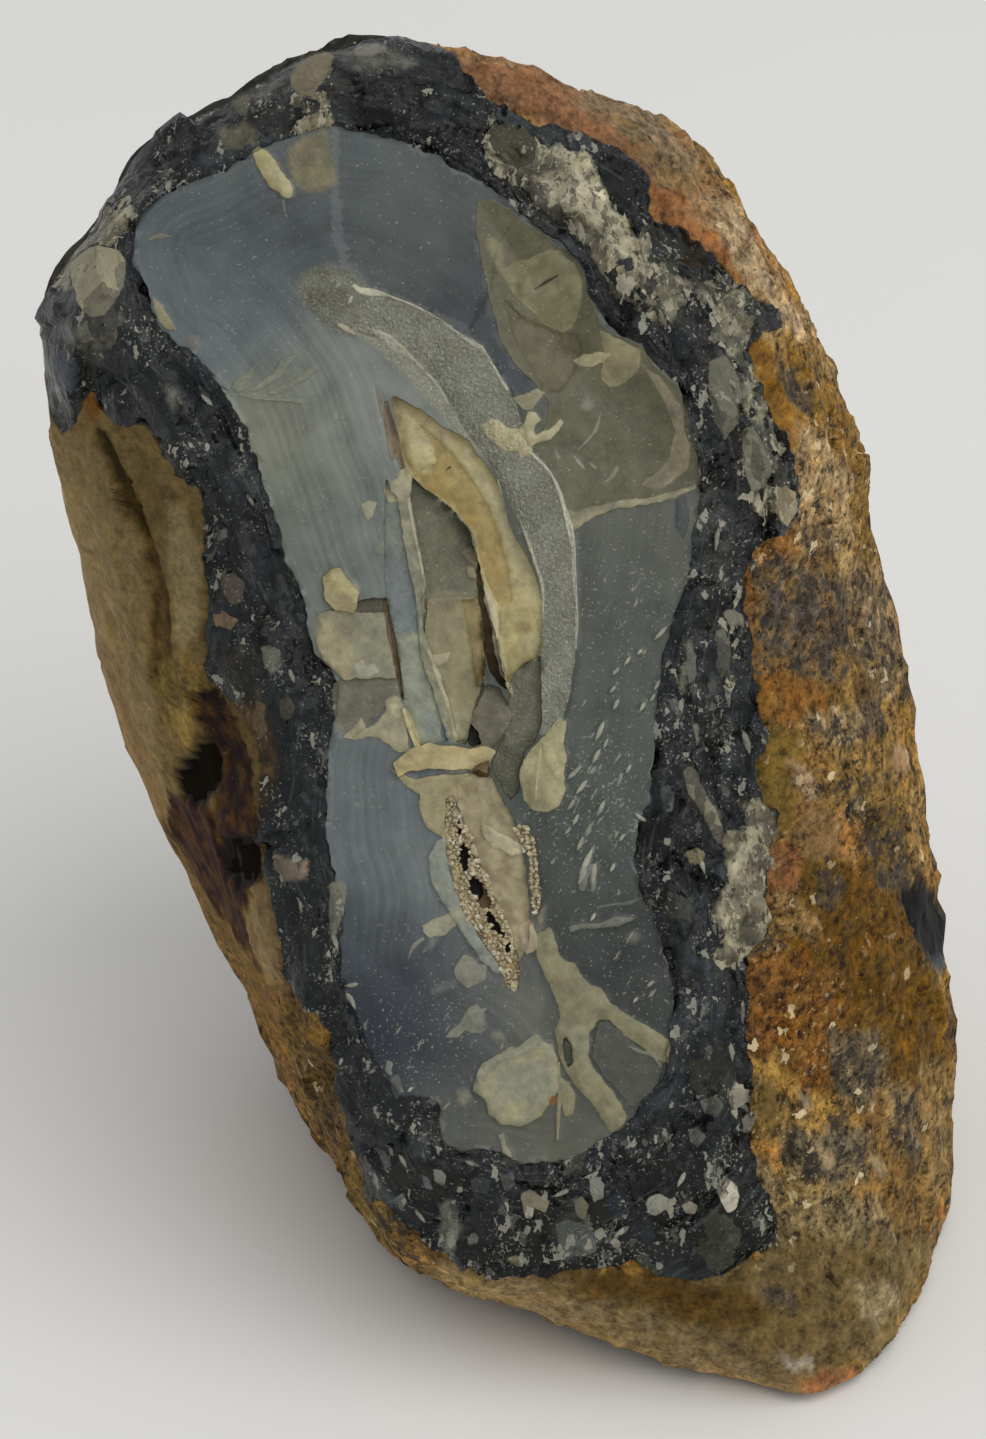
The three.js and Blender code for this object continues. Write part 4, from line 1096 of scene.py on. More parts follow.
    # The forked vein
    put("38,-188 49,-180 54,-191 58,-206 71,-212 78,-226 94,-234 104,-248 120,-259 137,-268 153,-278 "
        "153,-299 142,-296 132,-287 115,-275 100,-261 90,-263 84,-273 83,-291 86,-302 95,-313 107,-327 "
        "117,-346 111,-354 104,-361 93,-345 83,-331 70,-318 61,-304 57,-291 54,-270 58,-261 56,-247 "
        "49,-231 41,-213 37,-200", (126, 121, 92), (114, 109, 82), lift=raised(0.17, 0.35, 0.2))
    put("61,-278 64,-275 68,-285 70,-298 65,-303 62,-294", (52, 54, 45), lift=-0.3)
    put("57,-263 64,-270 76,-264 83,-278 81,-298 72,-292 67,-278 60,-273", (130, 127, 102), lift=0.05)
    put("91,-264 100,-263 128,-287 149,-299 144,-318 132,-329 121,-339 107,-322 95,-308 86,-294",
        (66, 68, 59), (72, 73, 63))
    line("57,-298 58,-322 57,-339 56,-367", [0.3, 0.35, 0.45, 0.15], (126, 121, 96), lift=0.12)
    line("117,-284 128,-289 138,-292 147,-303", [0.1, 0.35, 0.2, 0.1], (112, 110, 94), lift=0.05)
    put("39,-172 44,-161 43,-178 39,-187", (118, 110, 86), lift=0.05)

    # The slit: its cream lips, its beige slab, its hollow
    put("-90,-42 -79,-47 -67,-52 -53,-49 -32,-47 -15,-47 -27,-61 -33,-75 -33,-92 -36,-103 -45,-103 -57,-94 "
        "-64,-80 -64,-66 -77,-57", (146, 137, 101), (138, 130, 98), level=level(0.1, 0.12))
    put(DRUSE_HOLLOW, (184, 168, 132), (164, 142, 102), level=level(-0.5, 0.5, 0.8), marks={"druse": 1.0})
    put("-20,-143 -10,-139 1,-157 -3,-169 -13,-162", (110, 78, 46), level=level(-1.2, 0.2), marks=BARE)
    # the holes in the hollow, sunk deep and painted dark red-brown as the shade in them
    put("-32,-80 -28,-85 -27,-106 -31,-104", (66, 46, 28), level=level(-2.2), marks=BARE, bend=0.08)
    put("-30,-108 -24,-104 -21,-111 -19,-122 -22,-134 -28,-130 -31,-118", (54, 34, 22), level=level(-3.2),
        marks=BARE, wave=0.7)
    put("-23,-137 -16,-134 -10,-141 -8,-153 -13,-158 -21,-150", (48, 30, 20), level=level(-3.2), marks=BARE,
        wave=0.7)
    put("-8,-167 -3,-164 2,-172 9,-183 14,-191 7,-191 -3,-183 -6,-175", (52, 32, 20), level=level(-2.8),
        marks=BARE, wave=0.7)
    put("10,-193 15,-194 17,-204 10,-203", (56, 36, 22), level=level(-2.0), marks=BARE, bend=0.05)
    put("-32,-56 -16,-45 0,-50 7,-66 16,-84 22,-104 29,-129 31,-157 33,-171 30,-195 24,-211 13,-183 3,-160 "
        "-6,-139 -15,-117 -23,-96 -30,-75", (150, 140, 108), (126, 116, 88), level=level(-0.3, 0.25, 0.8))
    # a strip of the beige slab, painted lighter as its highlight
    put("-11,-89 6,-99 23,-108 29,-115 16,-118 2,-112 -8,-103", (170, 163, 132), lift=0.15)
    put("23,-179 32,-173 38,-186 38,-200 29,-205 23,-197", (150, 138, 112), lift=0.1)
    put("20,-92 30,-93 37,-108 39,-130 42,-161 37,-171 34,-157 32,-132 30,-115 22,-104", (152, 138, 106),
        (128, 100, 64), level=level(-0.3, 0.4, 0.6), marks={"druse": 1.0})
    put("-87,-38 -81,-32 -71,-25 -55,-20 -37,-23 -20,-25 -4,-23 3,-28 -2,-37 -5,-49 -13,-44 -33,-45 "
        "-55,-43 -72,-45 -83,-51", (166, 152, 110), (152, 138, 98), level=level(0.5, 0.15))
    put("-70,-28 -46,-24 -27,-30 -15,-33 -20,-40 -37,-42 -60,-38", (156, 140, 100), lift=-0.06)
    put("-46,-35 -27,-33 -17,-37 -22,-43 -37,-45", (172, 160, 118), lift=0.06)
    put("-22,-45 -11,-38 -3,-35 -4,-49 -11,-50", (104, 84, 54), lift=-0.25)

    # Chips and streaks in the plain agate
    put("-211,494 -205,499 -199,497 -191,488 -184,478 -177,469 -173,461 -176,454 -182,454 -191,461 "
        "-198,470 -206,482", (148, 139, 98), (158, 150, 110), lift=raised(0.23))
    # the chip's lower end, painted lighter as its highlight
    put("-185,466 -178,469 -173,461 -176,454 -182,455", (166, 158, 124), lift=0.05)
    line("-183,452 -182,445 -181,438", [0.2, 0.3, 0.1], (98, 96, 86))
    line("-301,417 -291,421 -280,420", [0.2, 0.5, 0.1], (106, 104, 92))
    put("-297,369 -290,363 -283,353 -276,339 -283,339 -290,346 -294,355", (124, 118, 88), (140, 134, 104),
        lift=raised(0.1))
    put("-269,332 -260,331 -255,322 -262,322", (108, 98, 84), lift=0.05)
    put("-229,288 -224,295 -214,301 -207,309 -210,297 -215,289 -222,284", (112, 114, 96), lift=raised(0.12))
    put("-215,284 -201,295 -191,303 -184,312 -175,317 -167,320 -178,307 -186,298 -200,288", (116, 118, 102),
        (106, 109, 96), lift=raised(0.15))
    put("-201,284 -182,291 -168,300 -157,309 -151,305 -164,295 -177,288 -190,282", (112, 114, 98),
        lift=raised(0.12))
    line("-222,282 -201,279 -182,278 -166,275", [0.1, 0.25, 0.3, 0.1], (116, 116, 98), lift=0.05)
    line("-244,299 -236,292 -229,286", [0.15, 0.4, 0.1], (98, 104, 104), lift=0.05)
    put("-114,187 -109,191 -100,189 -104,177 -109,173 -113,180", (142, 137, 113), lift=raised(0.15))
    # painted shade under the chip above
    put("-107,176 -94,175 -95,170 -108,169", (92, 98, 92), lift=-0.05)
    put("-104,151 -98,154 -91,151 -95,144 -102,144", (110, 112, 98), lift=0.07)
    line("-97,133 -90,135", [0.1, 0.2], (112, 114, 102))
    line("-88,142 -82,143 -75,147", [0.05, 0.2, 0.3], (116, 116, 100))
    line("66,-183 76,-180 93,-179 110,-175 123,-173", [0.6, 0.45, 0.5, 0.9, 0.2], (98, 100, 88), lift=0.07)
    line("90,-164 104,-161 117,-160 132,-154", [0.2, 0.2, 0.35, 0.1], (88, 90, 80))
    put("117,-187 124,-184 128,-190 123,-194 117,-193", (92, 94, 84), lift=0.05)
    put("75,-148 74,-132 79,-120 89,-108 86,-124 83,-139 79,-150", (106, 108, 98), (92, 95, 86),
        lift=raised(0.1))
    put("84,-139 85,-125 90,-124 90,-146 86,-151", (110, 110, 100), lift=raised(0.1))
    put("17,280 28,283 38,288 47,285 40,277 34,268 25,270", (122, 116, 90), (134, 129, 104),
        lift=raised(0.17))
    put("-10,256 -3,261 6,260 14,254 23,252 28,260 30,268 37,268 42,261 36,254 37,248 48,252 59,262 62,258 "
        "51,244 41,241 34,237 33,230 25,228 20,234 10,232 3,239 -3,245", (164, 156, 122), (150, 144, 112),
        lift=raised(0.25, 0.4, 0.15))
    line("18,247 27,240 29,230", [0.3, 0.5, 0.3], (170, 156, 126), lift=0.06)

    # Painted highlights along the broken edges round the frosted slope
    line("-122,378 -114,373 -98,371 -81,365 -64,358 -46,348", [0.3, 0.7, 0.2, 0.25, 0.15, 0.2],
        (172, 169, 148), lift=0.07)
    line("-46,348 -27,334 -13,325 -8,321 6,298 13,287", [0.15, 0.15, 0.5, 0.2, 0.2, 0.3], (160, 159, 142),
        lift=0.06)
    line("-135,344 -128,340 -120,335", [0.2, 0.45, 0.2], (152, 147, 124), lift=0.07)
    line("-107,339 -95,334 -85,325 -72,316 -59,303 -48,291 -41,278 -34,270",
        [0.15, 0.8, 0.9, 0.35, 0.25, 0.3, 0.2, 0.1], (148, 147, 128), lift=0.06)
    line("32,233 46,219 55,205 61,187 67,165 70,150", [0.15, 0.25, 0.35, 0.3, 0.6, 0.4], (168, 166, 148),
        lift=0.07)
    line("70,150 71,122 73,91 72,61", [0.4, 0.3, 0.25, 0.15], (158, 156, 138), lift=0.06)
    line("4,209 9,187 15,165 22,150", [0.1, 0.2, 0.15, 0.1], (152, 148, 124))
    line("23,174 30,157 37,135 43,115 43,87", [0.1, 0.3, 0.25, 0.3, 0.1], (166, 162, 140), lift=0.05)
    # The brightest flakes and facets of the dark rim, and one painted glint among them
    for place, length, turn in SPLINTERS:
        put(place + splinter(length, turn), (154, 153, 136), (130, 131, 118), bend=0.03, lift=0.1)
    for outline, colour in RIM_CHIPS:
        put(outline, colour, bend=0.1, wave=0.7, lift=raised(0.12, 0.4), marks={"pale": 0.0, "gloss": 0.5})
    return found


def splinter(length, turn):
    """A thin pointed flake of the given length in mm, turned by so many degrees from level."""
    along = np.array([-0.5, -0.2, 0.2, 0.5, 0.25, -0.1]) * length
    across = np.array([0.0, 0.1, 0.13, 0.02, -0.1, -0.13])
    c, s = math.cos(math.radians(turn)), math.sin(math.radians(turn))
    wide = 1 + 0.35 * length
    return np.column_stack([along * c - across * s * wide, along * s + across * c * wide])


# Thin slanting flakes of the agate: place, length in mm, turn in degrees
SPLINTERS = [
    ((9.3, -1.0), 2.0, 66), ((7.1, -4.6), 1.9, 42), ((7.7, -5.9), 1.8, 50), ((9.0, -3.2), 1.7, 60),
    ((9.8, -2.1), 1.2, 64), ((6.8, -7.4), 1.3, 55), ((7.2, -8.7), 1.2, 62), ((9.4, -7.7), 1.8, 62),
    ((7.6, -10.8), 1.5, 66), ((8.1, -12.4), 2.6, 64), ((8.8, -13.4), 2.2, 80), ((7.8, -13.6), 1.8, 60),
    ((11.8, -4.3), 1.1, 58), ((6.5, -9.7), 0.9, 50), ((12.8, -8.5), 1.4, -36), ((14.6, 7.5), 1.8, 46),
    ((11.7, 5.1), 1.1, 52), ((10.7, 4.2), 1.0, 48), ((14.3, 3.0), 1.2, 60), ((13.0, 1.1), 1.1, 58),
    ((13.9, 1.9), 0.9, 54), ((10.7, 1.3), 1.2, 62), ((10.4, 2.6), 0.9, 50), ((12.8, 5.9), 0.8, 44),
    ((15.2, 4.8), 0.9, 52), ((8.7, -17.2), 1.0, 58), ((10.4, -12.9), 1.0, 62), ((11.2, -10.3), 0.8, 54),
    ((13.7, -23.0), 0.9, 40), ((12.4, -24.4), 0.8, 46), ((-12.4, 36.5), 0.9, 62), ((-13.5, 37.8), 0.8, 58),
    # slivers of the rim, most of them standing along it
    ((20.7, 7.0), 3.6, 84), ((21.3, 10.6), 2.4, 74), ((20.4, 2.3), 2.8, 96), ((22.0, -1.9), 2.4, 104),
    ((19.5, 15.7), 2.2, 80), ((23.0, 13.4), 1.8, 68), ((18.1, -12.4), 2.4, 108), ((19.1, -17.6), 2.6, 104),
    ((21.7, -25.4), 2.2, 84), ((20.7, -28.9), 1.8, 98), ((18.2, -25.4), 1.4, 76), ((6.0, -41.1), 1.8, 24),
    ((-1.8, -38.6), 1.5, 160), ((11.2, -44.5), 1.8, 32), ((16.4, -40.0), 1.6, 62),
    ((-7.9, -38.5), 1.5, 118), ((-12.3, -24.5), 1.8, 116), ((-13.7, -19.3), 2.0, 102),
    ((-16.8, -16.1), 1.6, 96), ((-6.4, -43.3), 1.6, 128), ((-15.7, -1.9), 1.5, 98),
    ((-17.5, 3.8), 1.4, 112), ((-21.1, 19.1), 1.4, 118), ((-24.9, 27.8), 1.5, 134),
    # and more of the agate
    ((-12.3, -23.1), 1.4, 8), ((-10.5, -30.6), 0.7, 30), ((-7.2, -32.2), 0.7, 44),
    ((-12.9, -29.6), 0.8, 70),
]

# Flakes and facets of the dark rim, and one painted glint: outline and colour
RIM_CHIPS = [
    # bottom
    ("197,-404 205,-399 211,-406 214,-414 211,-425 204,-429 199,-421 196,-412", (174, 166, 150)),
    ("132,-421 137,-414 145,-412 153,-417 151,-426 142,-432 135,-429", (140, 140, 126)),
    ("164,-423 171,-419 179,-424 176,-432 168,-430", (130, 124, 110)),
    ("84,-400 90,-397 97,-404 95,-416 88,-419 84,-411", (118, 122, 112)),
    ("70,-418 77,-414 83,-421 80,-435 73,-432", (108, 104, 88)),
    ("55,-440 64,-434 76,-437 86,-445 90,-461 79,-466 69,-459 60,-465 56,-452", (86, 90, 84)),
    ("24,-412 32,-409 41,-414 50,-418 46,-428 36,-425 27,-432", (126, 118, 100)),
    ("29,-423 36,-425 34,-433 28,-434", (166, 160, 146)),
    ("-52,-391 -45,-390 -40,-397 -43,-405 -50,-402", (126, 128, 118)),
    ("-39,-430 -33,-429 -30,-442 -32,-458 -37,-456 -39,-444", (110, 112, 100)),
    ("-23,-451 -17,-448 -12,-452 -14,-458 -21,-457", (102, 104, 94)),
    ("12,-468 20,-466 27,-471 23,-477 15,-475", (118, 110, 94)),
    ("-93,-367 -89,-371 -87,-381 -91,-379", (118, 120, 112)),
    ("-89,-311 -83,-308 -78,-322 -84,-332 -89,-322", (88, 90, 84)),
    ("-93,-296 -87,-298 -89,-310 -94,-306", (108, 110, 102)),
    ("-103,-371 -95,-376 -89,-390 -95,-393", (78, 83, 86)),
    ("-64,-395 -57,-398 -53,-411 -60,-409", (94, 98, 98)),
    ("-86,-416 -80,-413 -77,-423 -81,-430", (84, 86, 82)),
    ("-20,-400 -11,-397 -1,-400 -4,-411 -17,-411", (64, 68, 68)),
    ("6,-397 17,-393 20,-405 11,-411", (92, 92, 84)),
    ("58,-388 76,-378 97,-372 104,-379 91,-390 72,-397", (36, 40, 44)),
    ("98,-418 110,-409 123,-418 117,-437 104,-435", (38, 42, 48)),
    ("180,-332 191,-327 199,-334 194,-346 184,-343", (88, 90, 84)),
    ("204,-324 213,-320 225,-322 222,-334 211,-339 204,-334", (142, 136, 120)),
    ("217,-348 224,-341 230,-346 225,-358 218,-360", (118, 114, 102)),
    ("171,-357 178,-353 184,-362 178,-372 171,-367", (94, 96, 90)),
    ("128,-442 137,-438 142,-449 135,-456 128,-451", (50, 54, 58)),
    ("185,-381 194,-378 201,-386 196,-397 187,-391", (58, 60, 58)),
    # right
    ("165,-45 171,-40 178,-45 182,-59 187,-70 194,-80 201,-96 199,-110 192,-103 185,-89 177,-75 168,-61",
        (130, 125, 104)),
    ("168,59 171,63 176,57 177,38 171,31 168,43", (104, 108, 98)),
    ("174,-5 178,-3 180,-19 177,-24", (120, 118, 104)),
    ("145,-61 152,-56 158,-63 156,-80 149,-80", (84, 90, 86)),
    ("149,-103 155,-103 154,-110 149,-109", (150, 146, 130)),
    ("167,-115 177,-111 185,-117 182,-125 171,-125", (118, 110, 84)),
    ("201,94 210,96 218,90 217,82 204,82", (120, 116, 102)),
    ("194,77 201,80 206,68 206,49 199,35 194,45", (108, 106, 94)),
    ("188,311 201,317 211,303 217,282 213,258 203,244 192,261 187,287", (100, 99, 84)),
    ("217,252 225,256 236,237 242,218 238,202 225,198 218,218", (112, 110, 92)),
    ("225,244 231,238 236,219 232,205 225,212", (84, 84, 72)),
    ("180,282 189,278 194,252 191,235 182,244 178,263", (30, 31, 29)),
    ("90,487 104,491 117,485 133,477 130,465 124,452 117,442 107,454 97,465", (28, 29, 30)),
    ("135,432 149,428 166,421 184,405 187,391 171,395 152,404 138,412", (44, 38, 26)),
    ("246,200 257,205 264,197 264,181 255,167 247,179", (152, 138, 108)),
    ("159,191 168,195 171,174 166,157 159,167", (64, 68, 66)),
    # top
    # a painted glint on the rim
    ("-122,586 -110,590 -95,587 -91,581 -105,579 -119,579", (128, 124, 116)),
    ("-177,559 -168,571 -157,581 -145,585 -138,578 -144,564 -149,553 -157,541 -168,543 -175,550",
        (118, 108, 86)),
    ("-3,512 10,519 25,515 37,503 36,487 23,478 8,484 -1,496", (70, 68, 56)),
    ("-325,532 -307,541 -290,536 -286,522 -302,515 -319,517", (30, 33, 36)),
    ("-227,543 -217,548 -210,539 -215,525 -225,529", (92, 88, 74)),
    # left
    ("-368,398 -356,407 -342,412 -326,409 -319,398 -321,379 -328,364 -338,351 -351,350 -361,360 -366,378",
        (152, 145, 120)),
    ("-379,317 -371,322 -363,313 -362,292 -368,284 -377,294", (64, 68, 76)),
    ("-342,348 -331,351 -326,336 -331,320 -340,327", (92, 88, 78)),
    ("-232,125 -224,129 -215,120 -217,103 -225,99 -232,110", (82, 72, 64)),
    ("-202,63 -192,65 -184,59 -185,45 -194,40 -201,49", (110, 110, 96)),
    ("-244,91 -232,94 -221,87 -227,78 -241,82", (112, 96, 70)),
    ("-239,164 -233,165 -232,158 -238,157", (118, 118, 110)),
    ("-196,-115 -185,-118 -171,-122 -166,-136 -178,-141 -191,-130", (104, 92, 80)),
    ("-142,-143 -133,-139 -127,-143 -130,-169 -138,-191 -143,-169", (104, 104, 90)),
    ("-185,17 -177,21 -171,10 -177,-2 -184,3", (70, 68, 60)),
    ("-206,17 -197,14 -194,-9 -201,-19 -207,-2", (86, 72, 52)),
]


# ---------------------------------------------------------------------------------------------
# The stone's surface: relief and paint, vertex by vertex
# ---------------------------------------------------------------------------------------------
def seen_colour(rgb, light=LIGHT):
    """The surface colour, linear, that looks like that sRGB colour where that much light falls."""
    value = np.asarray(rgb, float) / 255
    linear = np.where(value <= 0.04045, value / 12.92, ((value + 0.055) / 1.055) ** 2.4)
    return np.clip((linear - SHEEN) / light, *ALBEDO_RANGE)


def blended_zones(points, zones):
    """A smooth colour between soft zones, each a place, its reach in mm and its colour."""
    total = np.zeros((len(points), 3))
    weight = np.full(len(points), 1e-12)
    for place, reach, colour in zones:
        share = np.exp(-((points - place) ** 2).sum(1) / (2 * reach**2)) + 1e-6
        total += share[:, None] * np.asarray(colour, float)
        weight += share
    return total / weight[:, None]


class Surface:
    """Where every vertex is and what is painted on it."""

    def __init__(self, points, normals, sheet_size, sheet_edge):
        self.base = points
        self.normal = normals
        self.sheet_size = sheet_size
        # how much of its relief it can take without folding over, near the sheet's steep edge
        self.give = 0.4 + 0.6 * smoothstep(normals[:, 2], 0.05, 0.4)
        nearest, gap = nearest_of(points[sheet_size:], points[sheet_edge])
        at_edge = self.give[sheet_edge][nearest]
        self.give[sheet_size:] = at_edge + (1 - at_edge) * smoothstep(gap, 0.0, 3.0)
        self.relief = np.zeros(len(points))  # along the normal
        self.height = np.zeros(len(points))  # out of the break
        self.picture = points[:, :2] * (CAMERA_DISTANCE / (CAMERA_DISTANCE - points[:, 2]))[:, None]
        to_camera = np.array([0, 0, CAMERA_DISTANCE]) - points
        to_camera /= np.linalg.norm(to_camera, axis=1)[:, None]
        turned = (to_camera * normals).sum(1) + 0.05 * noise(points, 5, 315, 3)
        self.seen = smoothstep(turned, -0.24, 0.03)
        self.gain = np.ones(len(points))
        self.light = np.full(len(points), SKIN_LIGHT)
        self.lit = np.maximum(SKY_LIGHT + normals @ LIGHT_SLOPE, LEAST_LIGHT)
        self.colour = np.zeros((len(points), 3))
        self.marks = {name: np.zeros(len(points)) for name in MARKS}

    def mottled(self, where, colour, second, wave, seed):
        colour = np.asarray(colour, float)
        if second is None:
            return colour[None, :]
        share = smoothstep(noise(self.base[where], wave, seed, 3), -0.4, 0.4)[:, None]
        return colour * (1 - share) + np.asarray(second, float) * share

    def paint(self, where, share, colour, second=None, wave=1.5, seed=0):
        blend(self.colour, where, self.mottled(where, colour, second, wave, seed), share[:, None])

    def light_as_seen(self, where, share):
        """The colours there are as the photo shows them, with the light that falls on that slope."""
        blend(self.light, where, self.lit[where], share)

    def mark(self, where, share, **values):
        for name, value in values.items():
            blend(self.marks[name], where, value, share)

    def add_wash(self, wash, seed, allowed):
        """Adds a soft area to the vertices that it may touch, each with its own weight."""
        reach = wash.wander + wash.soft + 1
        low, high = wash.outline.min(0) - reach, wash.outline.max(0) + reach
        where = np.flatnonzero((allowed > 0) & np.all((self.picture > low) & (self.picture < high), axis=1))
        if not len(where):
            return
        base = self.base[where]
        warp = shifts(base, WASH_WAVE, (seed, seed + 50), 3)
        depth = signed_distance(self.picture[where] + warp * wash.wander, wash.outline)
        share = smoothstep(depth, -wash.soft / 2, wash.soft / 2) * allowed[where]
        touched = share > 0
        where, share = where[touched], share[touched]
        self.paint(where, share, wash.colour, wash.second, seed=seed)
        self.light_as_seen(where, share)
        self.mark(where, share, **wash.marks)
        self.relief[where] += share * wash.lift

    def paint_skin(self):
        everywhere = np.arange(len(self.base))
        full = np.ones(len(self.base))
        # the left flank is smooth, in long folds, as far back as the photo shows it
        behind = self.base[:, 2] + 8 * noise(self.base, 9, 314, 3)
        calm = smoothstep(-self.base[:, 0], 16, 24) * smoothstep(behind, -44, -28)
        self.paint(everywhere, full, OCHRE, BROWN, wave=16, seed=301)
        sandy = smoothstep(noise(self.base, 11, 302, 3), -0.1, 0.5)
        self.paint(everywhere, sandy, SAND, RUST, wave=9, seed=303)
        dark = smoothstep(noise(self.base, 8, 304, 4), 0.25, 0.45) * 0.8
        self.paint(everywhere, dark * (1 - calm), DARK_BROWN, BROWN, wave=3, seed=305)
        self.mark(everywhere, full, skin=1.0, gloss=0.3)
        self.marks["flakes"] = 1 - 0.85 * calm
        self.marks["chip"] = smoothstep(noise(self.base, 6, 312, 3), 0.1, 0.4) * (1 - calm)
        self.marks["pale"] = smoothstep(noise(self.base, 5, 313, 3), 0.0, 0.4) * (1 - calm)
        slant, _ = chips(self.base, 4.0, 306)
        small, _ = chips(self.base, 2.0, 307)
        pits = smoothstep(noise(self.base, 1.7, 309, 2), 0.3, 0.6)
        rough = 0.16 * slant + 0.12 * small + 0.12 * noise(self.base, 1.3, 310, 2) - 0.35 * pits - 0.05
        folds = 0.35 * noise(self.base * (1.0, 0.25, 1.0), 3.5, 311, 2)
        relief = 0.45 * noise(self.base, 7, 308, 2) + rough * (1 - 0.85 * calm) + folds * calm
        stands = smoothstep(to_stone(self.base)[:, 2] / MM, 0.0, 3.0)
        self.relief += relief * stands
        for seed, wash in enumerate(SKIN_WASHES):
            self.add_wash(wash, 400 + seed, self.seen)

    def paint_rim(self, edge):
        where = np.arange(self.sheet_size)
        flat = self.picture[where]
        share = smoothstep(signed_distance(flat, edge), -BORDER_HALF, BORDER_HALF)
        self.paint(where, share, RIM_DARK, RIM_BLUE, wave=3, seed=320)
        self.light_as_seen(where, share)
        self.mark(where, share, skin=0.0, rim=1.0, gloss=0.8, chip=0.0, pale=0.0)
        # the chips are drawn out along the rim
        index, out = nearest_of(flat, resampled(curved(AGATE), 0.5))
        along = np.column_stack([index * 0.5, out])
        slant, own = chips(along * (0.6, 1.0), 2.6, 321)
        small, small_own = chips(along * (0.6, 1.0), 1.1, 322)
        relief = 0.28 * slant + 0.22 * small + 0.25 * own + 0.08 * small_own
        drawn_out = noise(along * (0.2, 1.0), 1.8, 324, 2)
        relief += 0.5 * noise(self.base[where], 6, 323, 2) + 0.4 * drawn_out + 0.1
        blend(self.relief, where, relief, share)
        tone = 1 + (0.25 * own + 0.12 * small_own + 0.8 * noise(along * (0.16, 1.0), 1.4, 325, 2)) * share
        self.colour[where] *= tone[:, None]
        blend(self.marks["flakes"], where, self.rim_flakes(flat), share)
        allowed = np.zeros(len(self.base))
        allowed[where] = share
        for seed, wash in enumerate(RIM_WASHES):
            self.add_wash(wash, 500 + seed, allowed)
        crust = 1 + (0.16 * own + 0.14 * small_own) * share * self.marks["pale"][where]
        self.colour[where] *= crust[:, None]

    def rim_flakes(self, flat):
        """Few white flakes in the left rim, more at the right and the bottom, in clusters."""
        u, v = flat.T
        much = 0.05 + 0.6 * smoothstep(u, -8, 14) + 0.5 * smoothstep(-v, 30, 42)
        return much * (0.75 + 0.7 * noise(flat, 7, 331, 2))

    def paint_agate(self, outline):
        where = np.arange(self.sheet_size)
        depth = signed_distance(self.picture[where], outline)
        share = smoothstep(depth, -BORDER_HALF, BORDER_HALF)
        warped = self.picture[where] + shifts(self.picture[where], 7, (340, 341), 2)
        blend(self.colour, where, blended_zones(warped, AGATE_ZONES), share[:, None])
        blend(self.light, where, LIGHT, share)
        self.mark(where, share, rim=0.0, skin=0.0, pale=0.0, gloss=0.8, flakes=0.0)
        relief = 0.18 * noise(self.base[where], 9, 342, 2) + 0.04 * noise(self.base[where], 2.5, 343, 2)
        blend(self.relief, where, relief, share)
        far = signed_distance(self.picture[where], resampled(curved(AGATE), 1.5), reach=25.0)
        self.marks["band"][where] = far + 0.5 * noise(self.picture[where], 8, 344, 2)
        u, v = self.picture[where].T
        calm = 0.45 * smoothstep(u, 2.0, 8.0) * smoothstep(v, 32.0, 22.0)
        uneven = 0.7 + 0.6 * noise(self.picture[where], 9, 345, 2)
        banded = smoothstep(far, 14.0, 9.0) * (1 - calm) * uneven
        self.marks["banding"][where] = share * np.maximum(banded, 0)
        for place, reach, much in FLAKE_ZONES:
            near = np.exp(-((self.picture[where] - place) ** 2).sum(1) / (2 * reach**2))
            self.marks["flakes"][where] += share * much * near

    def add(self, patch, seed):
        depth = signed_distance(self.picture[: self.sheet_size], patch.outline)
        where = np.flatnonzero(depth > -patch.soft)
        depth = depth[where]
        share = smoothstep(depth, -patch.soft / 2, patch.soft / 2)
        if patch.colour is not None:
            self.paint(where, share * patch.strength, patch.colour, patch.second, seed=600 + seed)
            self.mark(where, share, gloss=0.6, banding=0.0, chip=1.0)
        self.gain[where] += (patch.gain - 1) * share
        self.mark(where, share, **patch.marks)
        flat = self.picture[where]
        if patch.level is not None:
            blend(self.height, where, patch.level(flat, depth), share)
        lift = patch.lift(flat, depth) if callable(patch.lift) else patch.lift
        self.height[where] += lift * share


# ---------------------------------------------------------------------------------------------
# Building the stone: mesh, relief and paint
# ---------------------------------------------------------------------------------------------
def chips(points, spacing, seed):
    """Broken facets: how high each one's plane stands, slanting at random, and its own number."""
    rng = np.random.default_rng(seed)
    low, high = points.min(0) - spacing, points.max(0) + spacing
    centres = rng.uniform(low, high, (int(np.prod((high - low) / spacing)), points.shape[1]))
    slants = rng.normal(0, 0.6, centres.shape)
    own = rng.uniform(-1, 1, len(centres))
    index, _ = nearest_of(points, centres)
    return ((points - centres[index]) * slants[index]).sum(1), own[index]


def own_height_share(points):
    """How much of the solid's own height counts: all of it outside the break, none in its middle."""
    return 1 - smoothstep(signed_distance(points, resampled(curved(BREAK), 0.5), reach=8.0), 0.3, 6.5)


def grounded(outlines):
    """Outlines in the picture's plane, moved to where they lie on the break's own surface."""
    points = np.vstack(outlines)
    hits, _ = heights_over(points)
    heights = hits[:, 2] * own_height_share(points)
    placed = points * ((CAMERA_DISTANCE - heights) / CAMERA_DISTANCE)[:, None]
    return np.split(placed, np.cumsum([len(outline) for outline in outlines])[:-1])


